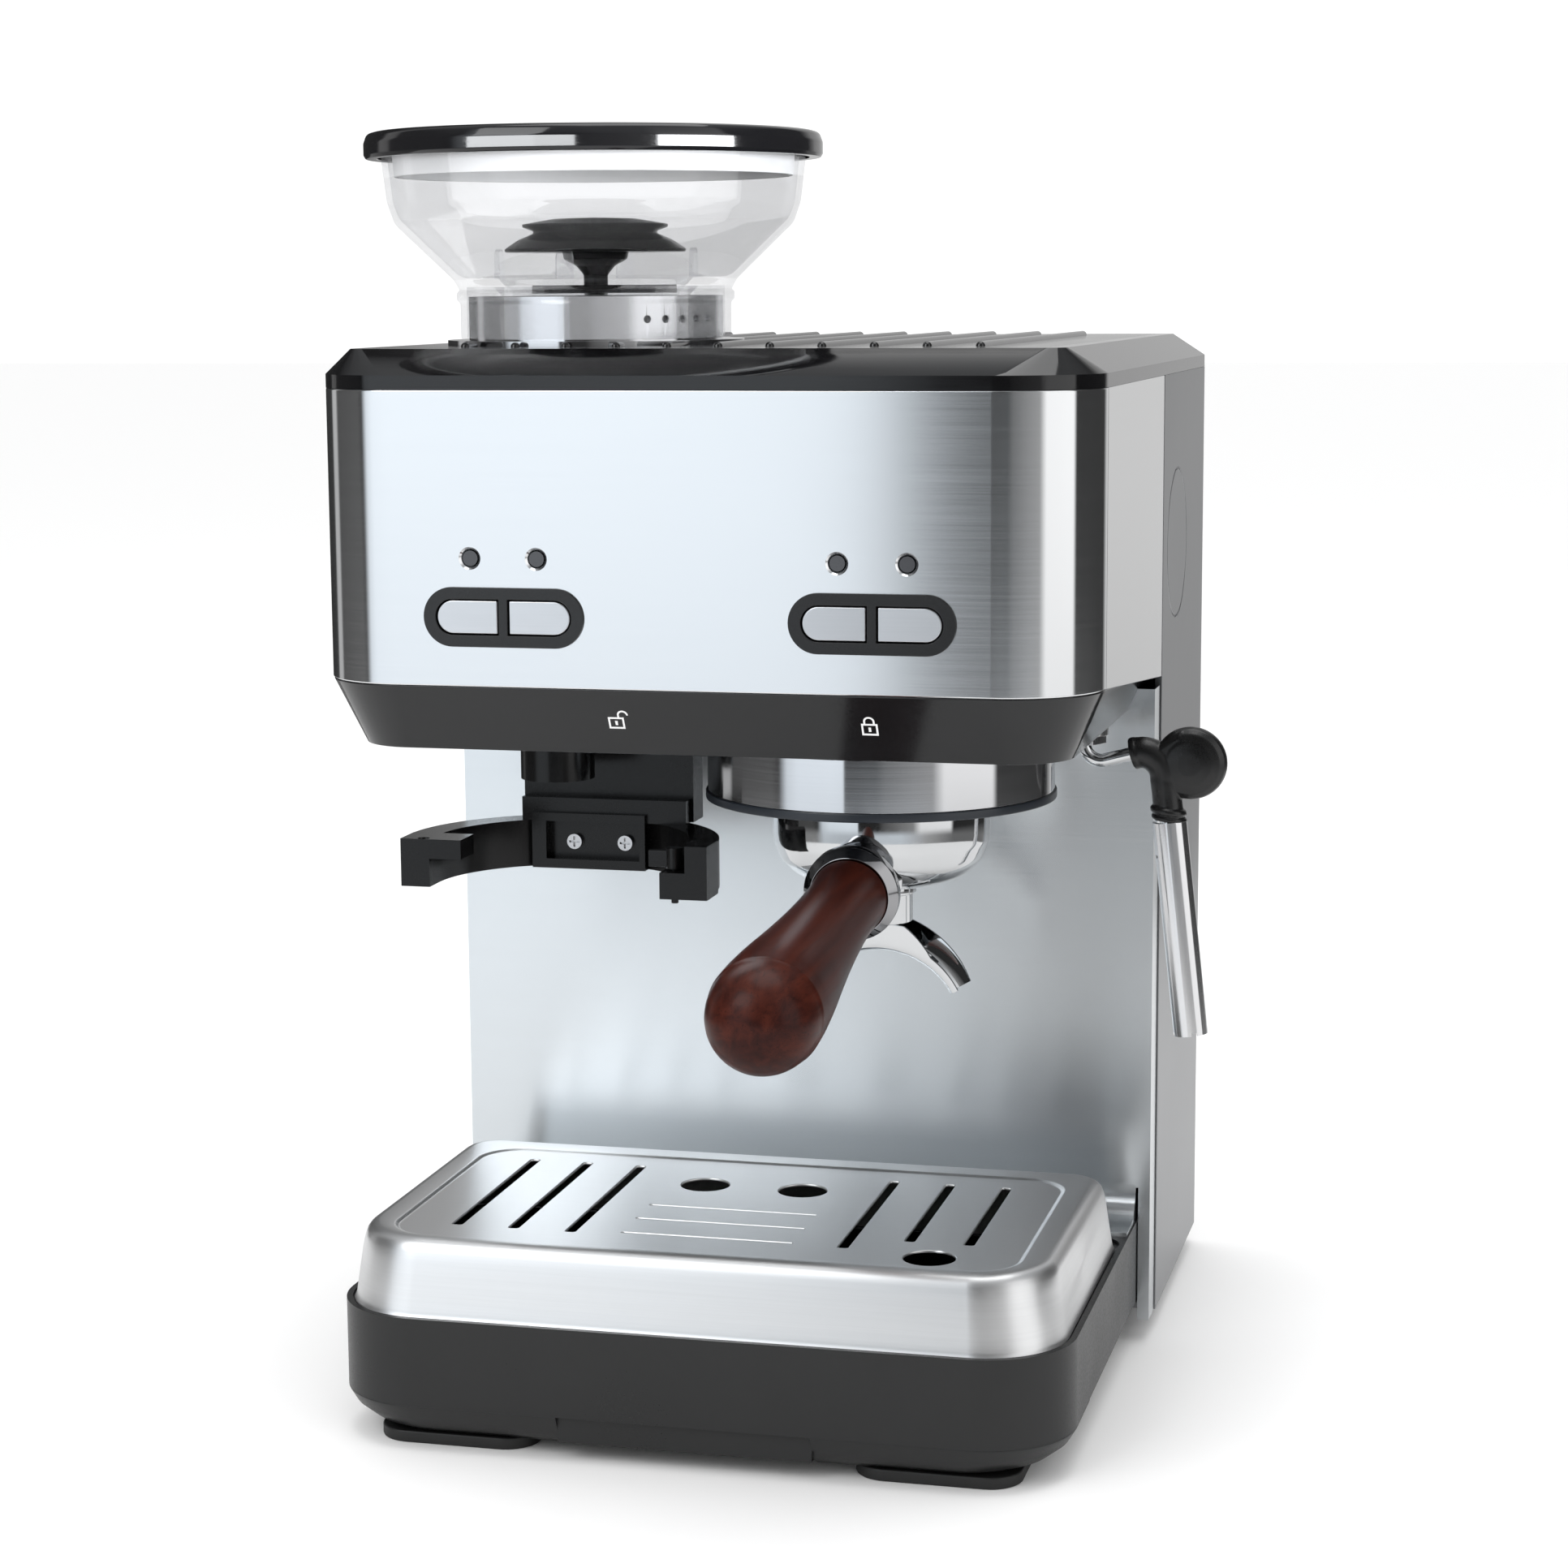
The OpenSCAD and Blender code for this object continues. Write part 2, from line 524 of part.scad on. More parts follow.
// ---------- hopper ----------
module hopper_shell() color([0.85, 0.88, 0.90, 0.35]) place() translate([hx, hy, 0]) {
  rotate_extrude() polygon([
    [43.4, 350.1], [45.6, 350.1], [45.6, 362], [46.6, 363.2], [46.6, 365.2], [45.9, 366.4], [46.6, 367.6], [48, 369.5],
    [67.2, 388.2], [68.8, 390.6], [69.4, 394], [71.2, 411.0],
    [69.0, 411.0], [67.2, 394.3], [66.6, 391.7], [65.5, 390.0], [46.3, 371.3], [44, 370.2], [33, 370.2], [31, 368], [28, 364.9], [28, 364.0], [31.4, 364.0],
    [34.5, 367.4], [43.4, 367.4]]);
  // prongs around the bean guard
  for (a = [0, 90, 180, 270]) rotate([0, 0, a]) translate([33.4, -3, 370.2]) cube([1.6, 6, 9.4]);
}
module bean_guard() color([0.05, 0.05, 0.05]) place() translate([hx, hy, 0]) {
  rotate_extrude() polygon([[0, 364.2], [4, 364.2], [4.1, 371], [6.5, 374], [10.6, 376.4], [10.8, 379], [30.4, 378.8], [30.6, 379.6],
    [26, 382.8], [20, 385], [24.4, 387.1], [24.5, 387.9], [14, 389.6], [0, 390]]);
  for (a = [0, 120, 240]) rotate([0, 0, a]) translate([3, -1, 364.9]) cube([25, 2, 2.6]);
}
module burr_carrier() color([0.60, 0.60, 0.62]) place() translate([hx, hy, 0]) {
  tube(31.4, 28, 358, 364);
  tube(28, 24.5, 316, 360);
  difference() {
    tube(24.5, 13, 315.6, 326);
    for (a = [0:30:359]) rotate([0, 0, a + 8]) translate([13, -0.8, 315]) cube([9, 1.6, 3]);
  }
}
module hopper_lid() color([0.05, 0.05, 0.055]) place() translate([hx, hy, 0])
  rotate_extrude() polygon([[0, 411.5], [65.0, 411.5], [65.0, 403.5], [66.8, 403.5], [67.4, 411.5], [72.2, 411.5], [72.2, lid_z], [76.2, lid_z],
    [lid_r, lid_z + 0.6], [lid_r, 415.2], [76.1, 416.9], [74.6, 417.9], [72.4, 418.1], [0, 418.1]]);
// ---------- portafilter ----------
module tilted() translate([gx, gy, 181.5]) rotate([droop, 0, 0]) rotate([90, 0, 0]) children();
module portafilter_body() color([0.86, 0.87, 0.88]) place() difference() {
  union() {
    translate([gx, gy, 0]) rotate_extrude() polygon([[0, 171.2], [12, 171.2], [21, 172.4], [27.5, 174.6], [32, 177.6], [34.8, 181], [35.8, 184.6], [cup_r, 187],
      [cup_r, 200], [35, 201.5], [35, 211.4], [0, 211.4]]);
    // bayonet ears
    for (a = [0, 180]) translate([gx, gy, 0]) rotate([0, 0, a]) rotate([0, 0, -14]) translate([0, 0, 206.4]) rotate_extrude(angle = 28) translate([34, 0]) square([7.6, 4]);
    // neck towards the handle
    tilted() translate([0, 0, 30]) cylinder(r1 = 11, r2 = 9.5, h = 7);
    tilted() translate([0, 0, 35]) cylinder(r = 9.5, h = 3.2);
  }
  translate([gx, gy, 177.4]) cylinder(r = 31.2, h = 40);
  translate([gx, gy, 168]) cylinder(r = 5, h = 20);
}
module filter_basket() color([0.75, 0.76, 0.77]) place() translate([gx, gy, 0]) difference() {
  union() {
    translate([0, 0, 186]) cylinder(r = 29.8, h = 26);
    translate([0, 0, 211.4]) cylinder(r = 34.4, h = 1.1);
  }
  translate([0, 0, 186.8]) cylinder(r = 29.2, h = 30);
  for (r = [5, 11, 17, 23], a = [0:40:359]) rotate([0, 0, a + r*5]) translate([r, 0, 180]) cylinder(r = 0.6, h = 10);
}
module handle_ferrule() color([0.25, 0.26, 0.27]) place() tilted() {
  translate([0, 0, 38.2]) cylinder(r1 = 14.6, r2 = 15.5, h = 3);
  translate([0, 0, 41.2]) cylinder(r = 15.5, h = 6.2);
  translate([0, 0, 47.4]) cylinder(r1 = 15.5, r2 = 14.4, h = 1.2);
}
module wood_handle() color([0.30, 0.10, 0.06]) place() tilted() rotate_extrude() polygon([
  [0, 48.6], [12.4, 48.6], [12.2, 56], [12.0, 66], [12.2, 78], [12.9, 92], [13.9, 106], [15.1, 120], [16.2, 132], [17.0, 143], [17.35, 152], [handle_r, 158],
  [17.0, 163.5], [15.8, 168], [13.6, 171.6], [10.2, 174.2], [5.6, 175.8], [0, 176.3]]);
module double_spout() color([0.86, 0.87, 0.88]) place() translate([gx, gy, 0]) {
  difference() {
    union() {
      translate([0, 0, 158.5]) cylinder(r = 10.4, h = 12.7);
      translate([0, 0, 168.2]) cylinder(r = 11.6, h = 3);
    }
    translate([0, 0, 150]) cylinder(r = 5, h = 30);
  }
  // two open channels falling to either side
  intersection() {
    translate([0, 7, 122]) rotate([90, 0, 0]) rotate_extrude() translate([27.6, 0]) difference() {
      square([9.4, 14]);
      translate([1.6, 1.6]) square([12, 10.8]);
    }
    front(-10, 10) polygon([[0, 120], [60, 156.5], [60, 180], [-60, 180], [-60, 156.5]]);
  }
}
// ---------- drip tray ----------
module drip_basin() color([0.10, 0.10, 0.105]) place() difference() {
  slab(band_bot + 3.4, band_top - 1.6) plan(base_hw - 7.5, base_y + 7.5, 125.5, base_r - 7.5, 9.5);
  slab(band_bot + 5.6, band_top + 10) plan(base_hw - 9.7, base_y + 9.7, 123.3, base_r - 9.7, 7.3);
}
module slot_y(x, y0, y1, w) { translate([x - w/2, y0]) square([w, y1 - y0]); translate([x, y0]) circle(d = w); translate([x, y1]) circle(d = w); }
module tray_cover() color([0.80, 0.80, 0.82]) place() difference() {
  union() {
    hull() {
      slab(band_top - 0.8, band_top - 0.4) plan(tray_hw, base_y + 3, tray_y1 + 3, 27, 12);
      slab(54, 54.4) plan(tray_hw - 1.2, base_y + 4.2, tray_y1 + 1.6, 26, 12);
      slab(59.6, 60) plan(tray_hw - 2.6, base_y + 5.8, tray_y1, 25, 11);
      slab(tray_z - 0.2, tray_z) plan(tray_hw - 5, base_y + 8.4, tray_y1 - 3, 23, 10);
    }
  }
  // hollow underside
  hull() {
    slab(band_top - 2, band_top - 0.6) plan(tray_hw - 1.2, base_y + 4.2, tray_y1 + 1.8, 26, 11);
    slab(tray_z - 2.6, tray_z - 2.4) plan(tray_hw - 5.4, base_y + 8.8, tray_y1 - 3.4, 22, 9);
  }
  // recessed drain field
  slab(tray_z - 0.8, tray_z + 1) plan(103.5, -1, 107, 14, 14);
  slab(tray_z - 5, tray_z + 1) {
    for (x = [-84.5, -65, -45.5]) slot_y(x, 15.5, 95.5, 3.4);
    slot_y(45.5, 17.5, 95.5, 3.4);
    for (x = [65, 84.5]) slot_y(x, 29, 95.5, 3.4);
    for (y = [50.3, 34, 17.2]) translate([0, y]) stadium(55.5, 1.5);
    for (x = [-17.2, 17.2]) translate([x, 78.5]) circle(r = 8.4);
    translate([75, 11]) circle(r = 8.4);
  }
}
// ---------- steam wand ----------
module wand_socket() color([0.30, 0.31, 0.32]) place() translate([wx, wy, 0]) difference() {
  union() {
    translate([0, 0, 217]) cylinder(r = 8, h = head_bot - 217);
    translate([0, 0, 214.2]) cylinder(r = 7.4, h = 2.8, $fn = 6);
    translate([0, 0, head_bot]) cylinder(r = 7, h = 11);
  }
  translate([0, 0, 213]) cylinder(r = 5.56, h = 10.6);
  translate([0, 0, 223]) cylinder(r = 1.6, h = 20);
}
module swivel_cup() color([0.45, 0.46, 0.47]) place() translate([wx, wy, 0]) difference() {
  translate([0, 0, ball_z - 3.5]) cylinder(r = 5.5, h = 8.3);
  translate([0, 0, ball_z]) sphere(r = 4.1);
  translate([0, 0, ball_z - 4.5]) cylinder(r1 = 4.4, r2 = 3.0, h = 3);
  translate([0, 0, ball_z + 1.6]) cylinder(r = 1.6, h = 10);
}
module wand_pipe() color([0.86, 0.87, 0.88]) place() {
  translate([wx, wy, 0]) {
    translate([0, 0, ball_z]) sphere(r = 4.0);
    translate([0, 0, arm_z + arm_r - 0.4]) cylinder(r = 2.3, h = ball_z - arm_z - arm_r + 0.4);
    translate([arm_r, 0, arm_z + arm_r]) rotate([90, 0, 0]) rotate([0, 0, 180]) rotate_extrude(angle = 90 + rise) translate([arm_r, 0]) circle(r = 2.25);
    translate([arm_r*(1 + sin(rise)), 0, arm_z + arm_r*(1 - cos(rise))]) rotate([0, 90 - rise, 0]) translate([0, 0, -0.4]) cylinder(r = 2.3, h = 13.8);
  }
  // steam tube inside the froth sleeve
  leaned() {
    translate([0, 0, -9]) cylinder(r = 4.94, h = 9.9);
    translate([0, 0, -52]) cylinder(r = 3, h = 44);
    difference() {
      translate([0, 0, -56]) cylinder(r1 = 1.8, r2 = 3, h = 4);
      translate([0, 0, -57]) cylinder(r = 0.8, h = 5);
    }
  }
}
module wand_grip() color([0.04, 0.04, 0.04]) place() {
  difference() {
    union() {
      // elbow from the pipe down to the sleeve
      translate([wx + arm_r*(1 + sin(rise)), wy, arm_z + arm_r*(1 - cos(rise))]) rotate([0, 90 - rise, 0]) translate([0, 0, 9.2]) cylinder(r = 4.9, h = 2.4);
      translate([el_x, wy, el_z]) rotate([90, 0, 0]) rotate([0, 0, -lean]) rotate_extrude(angle = 90 + rise + lean) translate([el_r, 0]) circle(r = 4.7);
      // flat thumb tab behind the elbow
      front(wy - 3.4, wy + 4) {
        translate([sl_x + 6.9, 208.3]) circle(r = 12.3);
        polygon([[sl_x - 5.5, 208.3], [sl_x - 5.5, 213], [sl_x + 4.2, 219.6], [sl_x + 4, 201], [sl_x - 2, 201]]);
      }
      leaned() {
        translate([0, 0, 4.6]) cylinder(r = 4.85, h = 10.3);
        translate([0, 0, 0.4]) cylinder(r = 5.7, h = 1.4);
        translate([0, 0, 1.8]) cylinder(r = 5.1, h = 0.8);
        translate([0, 0, 2.6]) cylinder(r = 5.9, h = 2);
      }
    }
    leaned() translate([0, 0, -1]) cylinder(r = 4.94, h = 1.9);
    translate([wx + arm_r*(1 + sin(rise)), wy, arm_z + arm_r*(1 - cos(rise))]) rotate([0, 90 - rise, 0]) translate([0, 0, 8]) cylinder(r = 2.3, h = 5.4);
  }
}
module froth_sleeve() color([0.80, 0.81, 0.82]) place() leaned() difference() {
  translate([0, 0, -73]) cylinder(r = 5.8, h = 73);
  translate([0, 0, -74]) cylinder(r = 5, h = 75);
  for (a = [20:90:359]) rotate([0, 0, a]) translate([4, -1, -74]) cube([4, 2, 2.2]);
  translate([0, 0, -11.4]) rotate([90, 0, -60]) cylinder(r = 0.6, h = 10);
}
// ---------- water tank ----------
module water_tank() color([0.55, 0.60, 0.64, 0.5]) place() difference() {
  union() {
    difference() {
      translate([-110, 178, 123.4]) cube([220, 100.5, 202.6]);
      translate([-107.5, 180.5, 126]) cube([215, 95.5, 210]);
    }
    // walls of the finger recess
    translate([-38, 258, 290]) cube([76, 19, 26]);
  }
  translate([-35.5, 260.5, 292.5]) cube([71, 30, 21]);
  translate([0, 225, 120]) cylinder(r = 3, h = 12);
}

base_housing();
foot_blocks();
rubber_feet();
bottom_cover();
splash_panel();
rear_housing();
back_panel();
power_inlet_gland();
tank_shelf();
head_front_panel();
head_side_panels();
lower_trim();
lock_icons();
head_bottom_plate();
top_frame();
cup_deck();
hopper_seat_ring();
group_collar();
collar_ring();
group_head();
group_gasket();
shower_screen();
boiler();
pump();
pump_mounts();
solenoid_valve();
hoses();
control_board();
button_bezels();
led_lenses();
button_l1();
button_l2();
button_r1();
button_r2();
grinder_housing();
grinder_motor();
motor_pinion();
burr_shaft();
grinder_chute();
cradle_bracket();
cradle_screws();
grind_lever();
hopper_shell();
bean_guard();
burr_carrier();
hopper_lid();
portafilter_body();
filter_basket();
handle_ferrule();
wood_handle();
double_spout();
drip_basin();
tray_cover();
wand_socket();
swivel_cup();
wand_pipe();
wand_grip();
froth_sleeve();
water_tank();
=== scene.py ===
import math
import bpy
import bmesh
from mathutils import Matrix, Vector


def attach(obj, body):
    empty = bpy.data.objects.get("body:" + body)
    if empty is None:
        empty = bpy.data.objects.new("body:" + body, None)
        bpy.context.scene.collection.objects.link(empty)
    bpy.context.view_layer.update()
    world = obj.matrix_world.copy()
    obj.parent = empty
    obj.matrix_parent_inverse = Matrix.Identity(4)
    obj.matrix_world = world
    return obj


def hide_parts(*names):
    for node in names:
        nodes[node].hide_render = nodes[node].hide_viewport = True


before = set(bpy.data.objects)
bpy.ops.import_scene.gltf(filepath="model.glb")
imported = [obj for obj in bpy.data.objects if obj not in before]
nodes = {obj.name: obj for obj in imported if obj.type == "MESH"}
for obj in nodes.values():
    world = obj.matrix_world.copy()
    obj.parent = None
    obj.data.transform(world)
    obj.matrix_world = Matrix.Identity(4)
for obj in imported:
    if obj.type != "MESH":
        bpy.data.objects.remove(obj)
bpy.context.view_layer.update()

scene = bpy.context.scene

# ---------------------------------------------------------------- frame helpers
# millimetres from the machine's own datum (centre plane, front face, underside of the base) to the row frame
OX, OY, OZ = -11.5, -90.65, 6.4


def V(x, y, z):
    return Vector(((x + OX) / 1000, (y + OY) / 1000, (z + OZ) / 1000))


# main axes, in millimetres
GX, GY = 46.7, 70.3
HX, HY = -56.5, 94.0
WX, WY = 108.1, 110.0
DROOP = math.radians(7.6)
LEAN = math.radians(6.3)

# ---------------------------------------------------------------- camera
YAW, PITCH, ROLL = 0.245868, 0.151214, -0.00675465
right = Vector((math.cos(YAW), math.sin(YAW), 0))
fwd = Vector((-math.sin(YAW) * math.cos(PITCH), math.cos(YAW) * math.cos(PITCH), -math.sin(PITCH)))
up = right.cross(fwd)
c, s = math.cos(ROLL), math.sin(ROLL)
r2 = c * right + s * up
u2 = -s * right + c * up
cam_data = bpy.data.cameras.new("camera")
cam_data.sensor_width = 36
cam_data.sensor_fit = "HORIZONTAL"
cam_data.lens = 4060.40 / 1932 * 36
cam_data.clip_end = 60
cam = bpy.data.objects.new("camera", cam_data)
scene.collection.objects.link(cam)
cam.matrix_world = Matrix.Translation(V(277.28, -980.41, 368.24)) @ Matrix((
    (r2.x, u2.x, -fwd.x), (r2.y, u2.y, -fwd.y), (r2.z, u2.z, -fwd.z))).to_4x4()
scene.camera = cam

# ---------------------------------------------------------------- material helpers


class Mat:
    """A small node builder around one principled shader."""

    def __init__(self, name, color=(0.5, 0.5, 0.5), rough=0.4, metal=0.0, **socket):
        self.m = bpy.data.materials.new(name)
        self.m.use_nodes = True
        self.t = self.m.node_tree
        self.b = self.t.nodes["Principled BSDF"]
        self.b.inputs["Base Color"].default_value = (*color, 1)
        self.b.inputs["Roughness"].default_value = rough
        self.b.inputs["Metallic"].default_value = metal
        for k, v in socket.items():
            self.b.inputs[k.replace("_", " ")].default_value = v
        self.bump_in = None

    def n(self, kind, **props):
        node = self.t.nodes.new(kind)
        for k, v in props.items():
            setattr(node, k, v)
        return node

    def link(self, a, b):
        self.t.links.new(a, b)

    def coords(self, scale=(1, 1, 1), rot=(0, 0, 0), loc=(0, 0, 0)):
        tc = self.n("ShaderNodeTexCoord")
        mp = self.n("ShaderNodeMapping")
        mp.inputs["Scale"].default_value = scale
        mp.inputs["Rotation"].default_value = rot
        mp.inputs["Location"].default_value = loc
        self.link(tc.outputs["Object"], mp.inputs["Vector"])
        return mp.outputs["Vector"]

    def noise(self, vec, scale=1.0, detail=2.0, rough=0.5, distortion=0.0):
        t = self.n("ShaderNodeTexNoise")
        t.inputs["Scale"].default_value = scale
        t.inputs["Detail"].default_value = detail
        t.inputs["Roughness"].default_value = rough
        t.inputs["Distortion"].default_value = distortion
        self.link(vec, t.inputs["Vector"])
        return t.outputs["Fac"]

    def remap(self, fac, lo, hi, a=0.0, b=1.0):
        r = self.n("ShaderNodeMapRange")
        r.inputs["From Min"].default_value = a
        r.inputs["From Max"].default_value = b
        r.inputs["To Min"].default_value = lo
        r.inputs["To Max"].default_value = hi
        self.link(fac, r.inputs["Value"])
        return r.outputs["Result"]

    def math(self, op, a, b):
        m = self.n("ShaderNodeMath", operation=op)
        for k, v in ((0, a), (1, b)):
            if isinstance(v, (int, float)):
                m.inputs[k].default_value = v
            else:
                self.link(v, m.inputs[k])
        return m.outputs[0]

    def ramp(self, fac, stops):
        r = self.n("ShaderNodeValToRGB")
        e = r.color_ramp.elements
        while len(e) > 1:
            e.remove(e[-1])
        e[0].position, e[0].color = stops[0][0], (*stops[0][1], 1)
        for p, col in stops[1:]:
            k = e.new(p)
            k.color = (*col, 1)
        self.link(fac, r.inputs["Fac"])
        return r.outputs["Color"]

    def color(self, out):
        self.link(out, self.b.inputs["Base Color"])

    def rough(self, out):
        self.link(out, self.b.inputs["Roughness"])

    def bump(self, height, strength=0.2, dist=0.0003):
        k = self.n("ShaderNodeBump")
        k.inputs["Strength"].default_value = strength
        k.inputs["Distance"].default_value = dist
        self.link(height, k.inputs["Height"])
        if self.bump_in is not None:
            self.link(self.bump_in, k.inputs["Normal"])
        self.bump_in = k.outputs["Normal"]
        self.link(self.bump_in, self.b.inputs["Normal"])


def brushed(name, color, rough=0.26, axis="x", aniso=0.8, line=0.02, bump=0.02, tint=0.03, tangent="Z", turn=0.25):
    """Brushed steel: fine scratches along one axis, broad handling marks, slight colour drift."""
    m = Mat(name, color, rough, 1.0, Anisotropic=aniso, Anisotropic_Rotation=turn)
    lo, hi = 22.0, 3000.0
    # "x": level lines round every upright face; "top": lines along X on a level face; "z": upright lines
    sc = {"x": (lo, lo, hi), "top": (lo, hi, lo), "z": (hi, hi, lo)}[axis]
    sc2 = {"x": (9, 9, 950), "top": (9, 950, 9), "z": (950, 950, 9)}[axis]
    fine = m.noise(m.coords(sc), 1.0, 3.0, 0.65)
    mid = m.noise(m.coords(sc2, loc=(3.1, 1.7, 0.4)), 1.0, 2.0, 0.5)
    patch = m.noise(m.coords((9, 9, 9)), 1.0, 3.0, 0.55, 0.4)
    both = m.math("ADD", m.math("MULTIPLY", fine, 0.6), m.math("MULTIPLY", mid, 0.4))
    m.rough(m.math("ADD", m.remap(both, rough - line, rough + line, 0.3, 0.7), m.remap(patch, -0.01, 0.012, 0.3, 0.7)))
    if axis == "top":
        # the same sheet's upright skirt carries level lines
        geo = m.n("ShaderNodeNewGeometry")
        sep = m.n("ShaderNodeSeparateXYZ")
        m.link(geo.outputs["Normal"], sep.inputs[0])
        flat = m.math("GREATER_THAN", m.math("ABSOLUTE", sep.outputs["Z"], 0.0), 0.75)
        wall = m.noise(m.coords((9, 9, 950)), 1.0, 3.0, 0.6)
        both = m.math("ADD", m.math("MULTIPLY", both, flat), m.math("MULTIPLY", wall, m.math("SUBTRACT", 1.0, flat)))
    dark = tuple(v * (1 - tint) for v in color)
    m.color(m.ramp(both, [(0.32, dark), (0.62, color)]))
    m.bump(both, bump, 0.0001)
    tg = m.n("ShaderNodeTangent", direction_type="RADIAL", axis=tangent)
    m.link(tg.outputs["Tangent"], m.b.inputs["Tangent"])
    return m.m


def plastic(name, color, rough=0.42, grain=900.0, bump=0.12, spec=0.5, coat=0.0, vary=0.12):
    """Moulded plastic: a fine spark-eroded grain with slow colour and gloss drift."""
    m = Mat(name, color, rough, 0.0)
    m.b.inputs["Specular IOR Level"].default_value = spec
    m.b.inputs["Coat Weight"].default_value = coat
    m.b.inputs["Coat Roughness"].default_value = 0.08
    g = m.noise(m.coords((grain, grain, grain)), 1.0, 2.0, 0.6)
    p = m.noise(m.coords((22, 22, 22)), 1.0, 3.0, 0.5)
    m.rough(m.math("ADD", m.remap(g, rough - 0.05, rough + 0.05, 0.3, 0.7), m.remap(p, -0.03, 0.03, 0.3, 0.7)))
    m.color(m.ramp(p, [(0.3, tuple(v * (1 - vary) for v in color)), (0.7, tuple(min(1, v * (1 + vary)) for v in color))]))
    m.bump(g, bump, 0.00012)
    return m.m


def gloss(name, color, rough=0.07, coat=0.6, scratch=0.05):
    """Polished black plastic: deep gloss with faint hairline scratches and dust haze."""
    m = Mat(name, color, rough, 0.0)
    m.b.inputs["Coat Weight"].default_value = coat
    m.b.inputs["Coat Roughness"].default_value = 0.03
    a = m.noise(m.coords((30, 1600, 1600), rot=(0.2, 0.4, 0.7)), 1.0, 2.0, 0.6)
    h = m.noise(m.coords((16, 16, 16)), 1.0, 4.0, 0.6)
    m.rough(m.math("ADD", m.remap(a, rough, rough + scratch, 0.45, 0.75), m.remap(h, 0.0, 0.05, 0.4, 0.75)))
    m.color(m.ramp(h, [(0.3, color), (0.75, tuple(v * 1.25 for v in color))]))
    m.bump(m.noise(m.coords((70, 70, 70)), 1.0, 1.0, 0.4), 0.02, 0.0003)
    return m.m


def chrome(name, color, rough=0.04, smudge=0.07):
    """Plated chrome with faint polishing haze."""
    m = Mat(name, color, rough, 1.0)
    h = m.noise(m.coords((28, 28, 28)), 1.0, 4.0, 0.6, 0.5)
    f = m.noise(m.coords((900, 900, 900)), 1.0, 2.0, 0.5)
    m.rough(m.math("ADD", m.remap(h, rough, rough + smudge, 0.45, 0.8), m.remap(f, 0.0, 0.02, 0.4, 0.7)))
    m.color(m.ramp(h, [(0.3, color), (0.8, tuple(v * 0.95 for v in color))]))
    m.bump(m.noise(m.coords((55, 55, 55)), 1.0, 1.0, 0.4), 0.012, 0.0004)
    return m.m


def rubber(name, color, rough=0.5, bump=0.15):
    m = Mat(name, color, rough, 0.0)
    g = m.noise(m.coords((1400, 1400, 1400)), 1.0, 3.0, 0.6)
    p = m.noise(m.coords((60, 60, 60)), 1.0, 3.0, 0.5)
    m.rough(m.math("ADD", m.remap(g, rough - 0.06, rough + 0.06, 0.3, 0.7), m.remap(p, -0.05, 0.05, 0.3, 0.7)))
    m.color(m.ramp(p, [(0.3, tuple(v * 0.85 for v in color)), (0.7, tuple(v * 1.2 for v in color))]))
    m.bump(g, bump, 0.0001)
    return m.m


def cast(name, color, rough=0.5):
    """Cast or sand-blasted metal."""
    m = Mat(name, color, rough, 1.0)
    g = m.noise(m.coords((700, 700, 700)), 1.0, 4.0, 0.7)
    p = m.noise(m.coords((40, 40, 40)), 1.0, 4.0, 0.6)
    m.rough(m.math("ADD", m.remap(g, rough - 0.08, rough + 0.08, 0.3, 0.7), m.remap(p, -0.05, 0.06, 0.3, 0.7)))
    m.color(m.ramp(p, [(0.3, tuple(v * 0.82 for v in color)), (0.72, color)]))
    m.bump(g, 0.25, 0.00025)
    return m.m


def wood(name):
    """Dark red-brown varnished hardwood, its grain running along the drooping handle."""
    m = Mat(name, (0.1, 0.02, 0.01), 0.3)
    m.b.inputs["Specular IOR Level"].default_value = 0.14
    m.b.inputs["Coat Weight"].default_value = 0.06
    m.b.inputs["Coat Roughness"].default_value = 0.16
    rot = (-DROOP, 0, 0)
    streak = m.noise(m.coords((210, 7, 210), rot), 1.0, 5.0, 0.62, 0.7)
    pores = m.noise(m.coords((1500, 34, 1500), rot, (2, 5, 1)), 1.0, 2.0, 0.6)
    broad = m.noise(m.coords((46, 6, 46), rot, (7, 1, 3)), 1.0, 2.0, 0.5, 0.4)
    f = m.math("ADD", m.math("MULTIPLY", streak, 0.55), m.math("MULTIPLY", broad, 0.45))
    col = m.ramp(f, [(0.30, (0.013, 0.0024, 0.0017)), (0.44, (0.028, 0.0050, 0.0030)),
                     (0.56, (0.050, 0.0092, 0.0046)), (0.72, (0.078, 0.0150, 0.0066))])
    dark = m.ramp(pores, [(0.28, (0.35, 0.35, 0.35)), (0.42, (1, 1, 1))])
    mx = m.n("ShaderNodeMix", data_type="RGBA", blend_type="MULTIPLY")
    mx.inputs["Factor"].default_value = 0.65
    m.link(col, mx.inputs["A"])
    m.link(dark, mx.inputs["B"])
    m.color(mx.outputs["Result"])
    m.rough(m.remap(f, 0.30, 0.40, 0.3, 0.7))
    m.bump(pores, 0.06, 0.00015)
    m.bump(streak, 0.05, 0.0003)
    return m.m


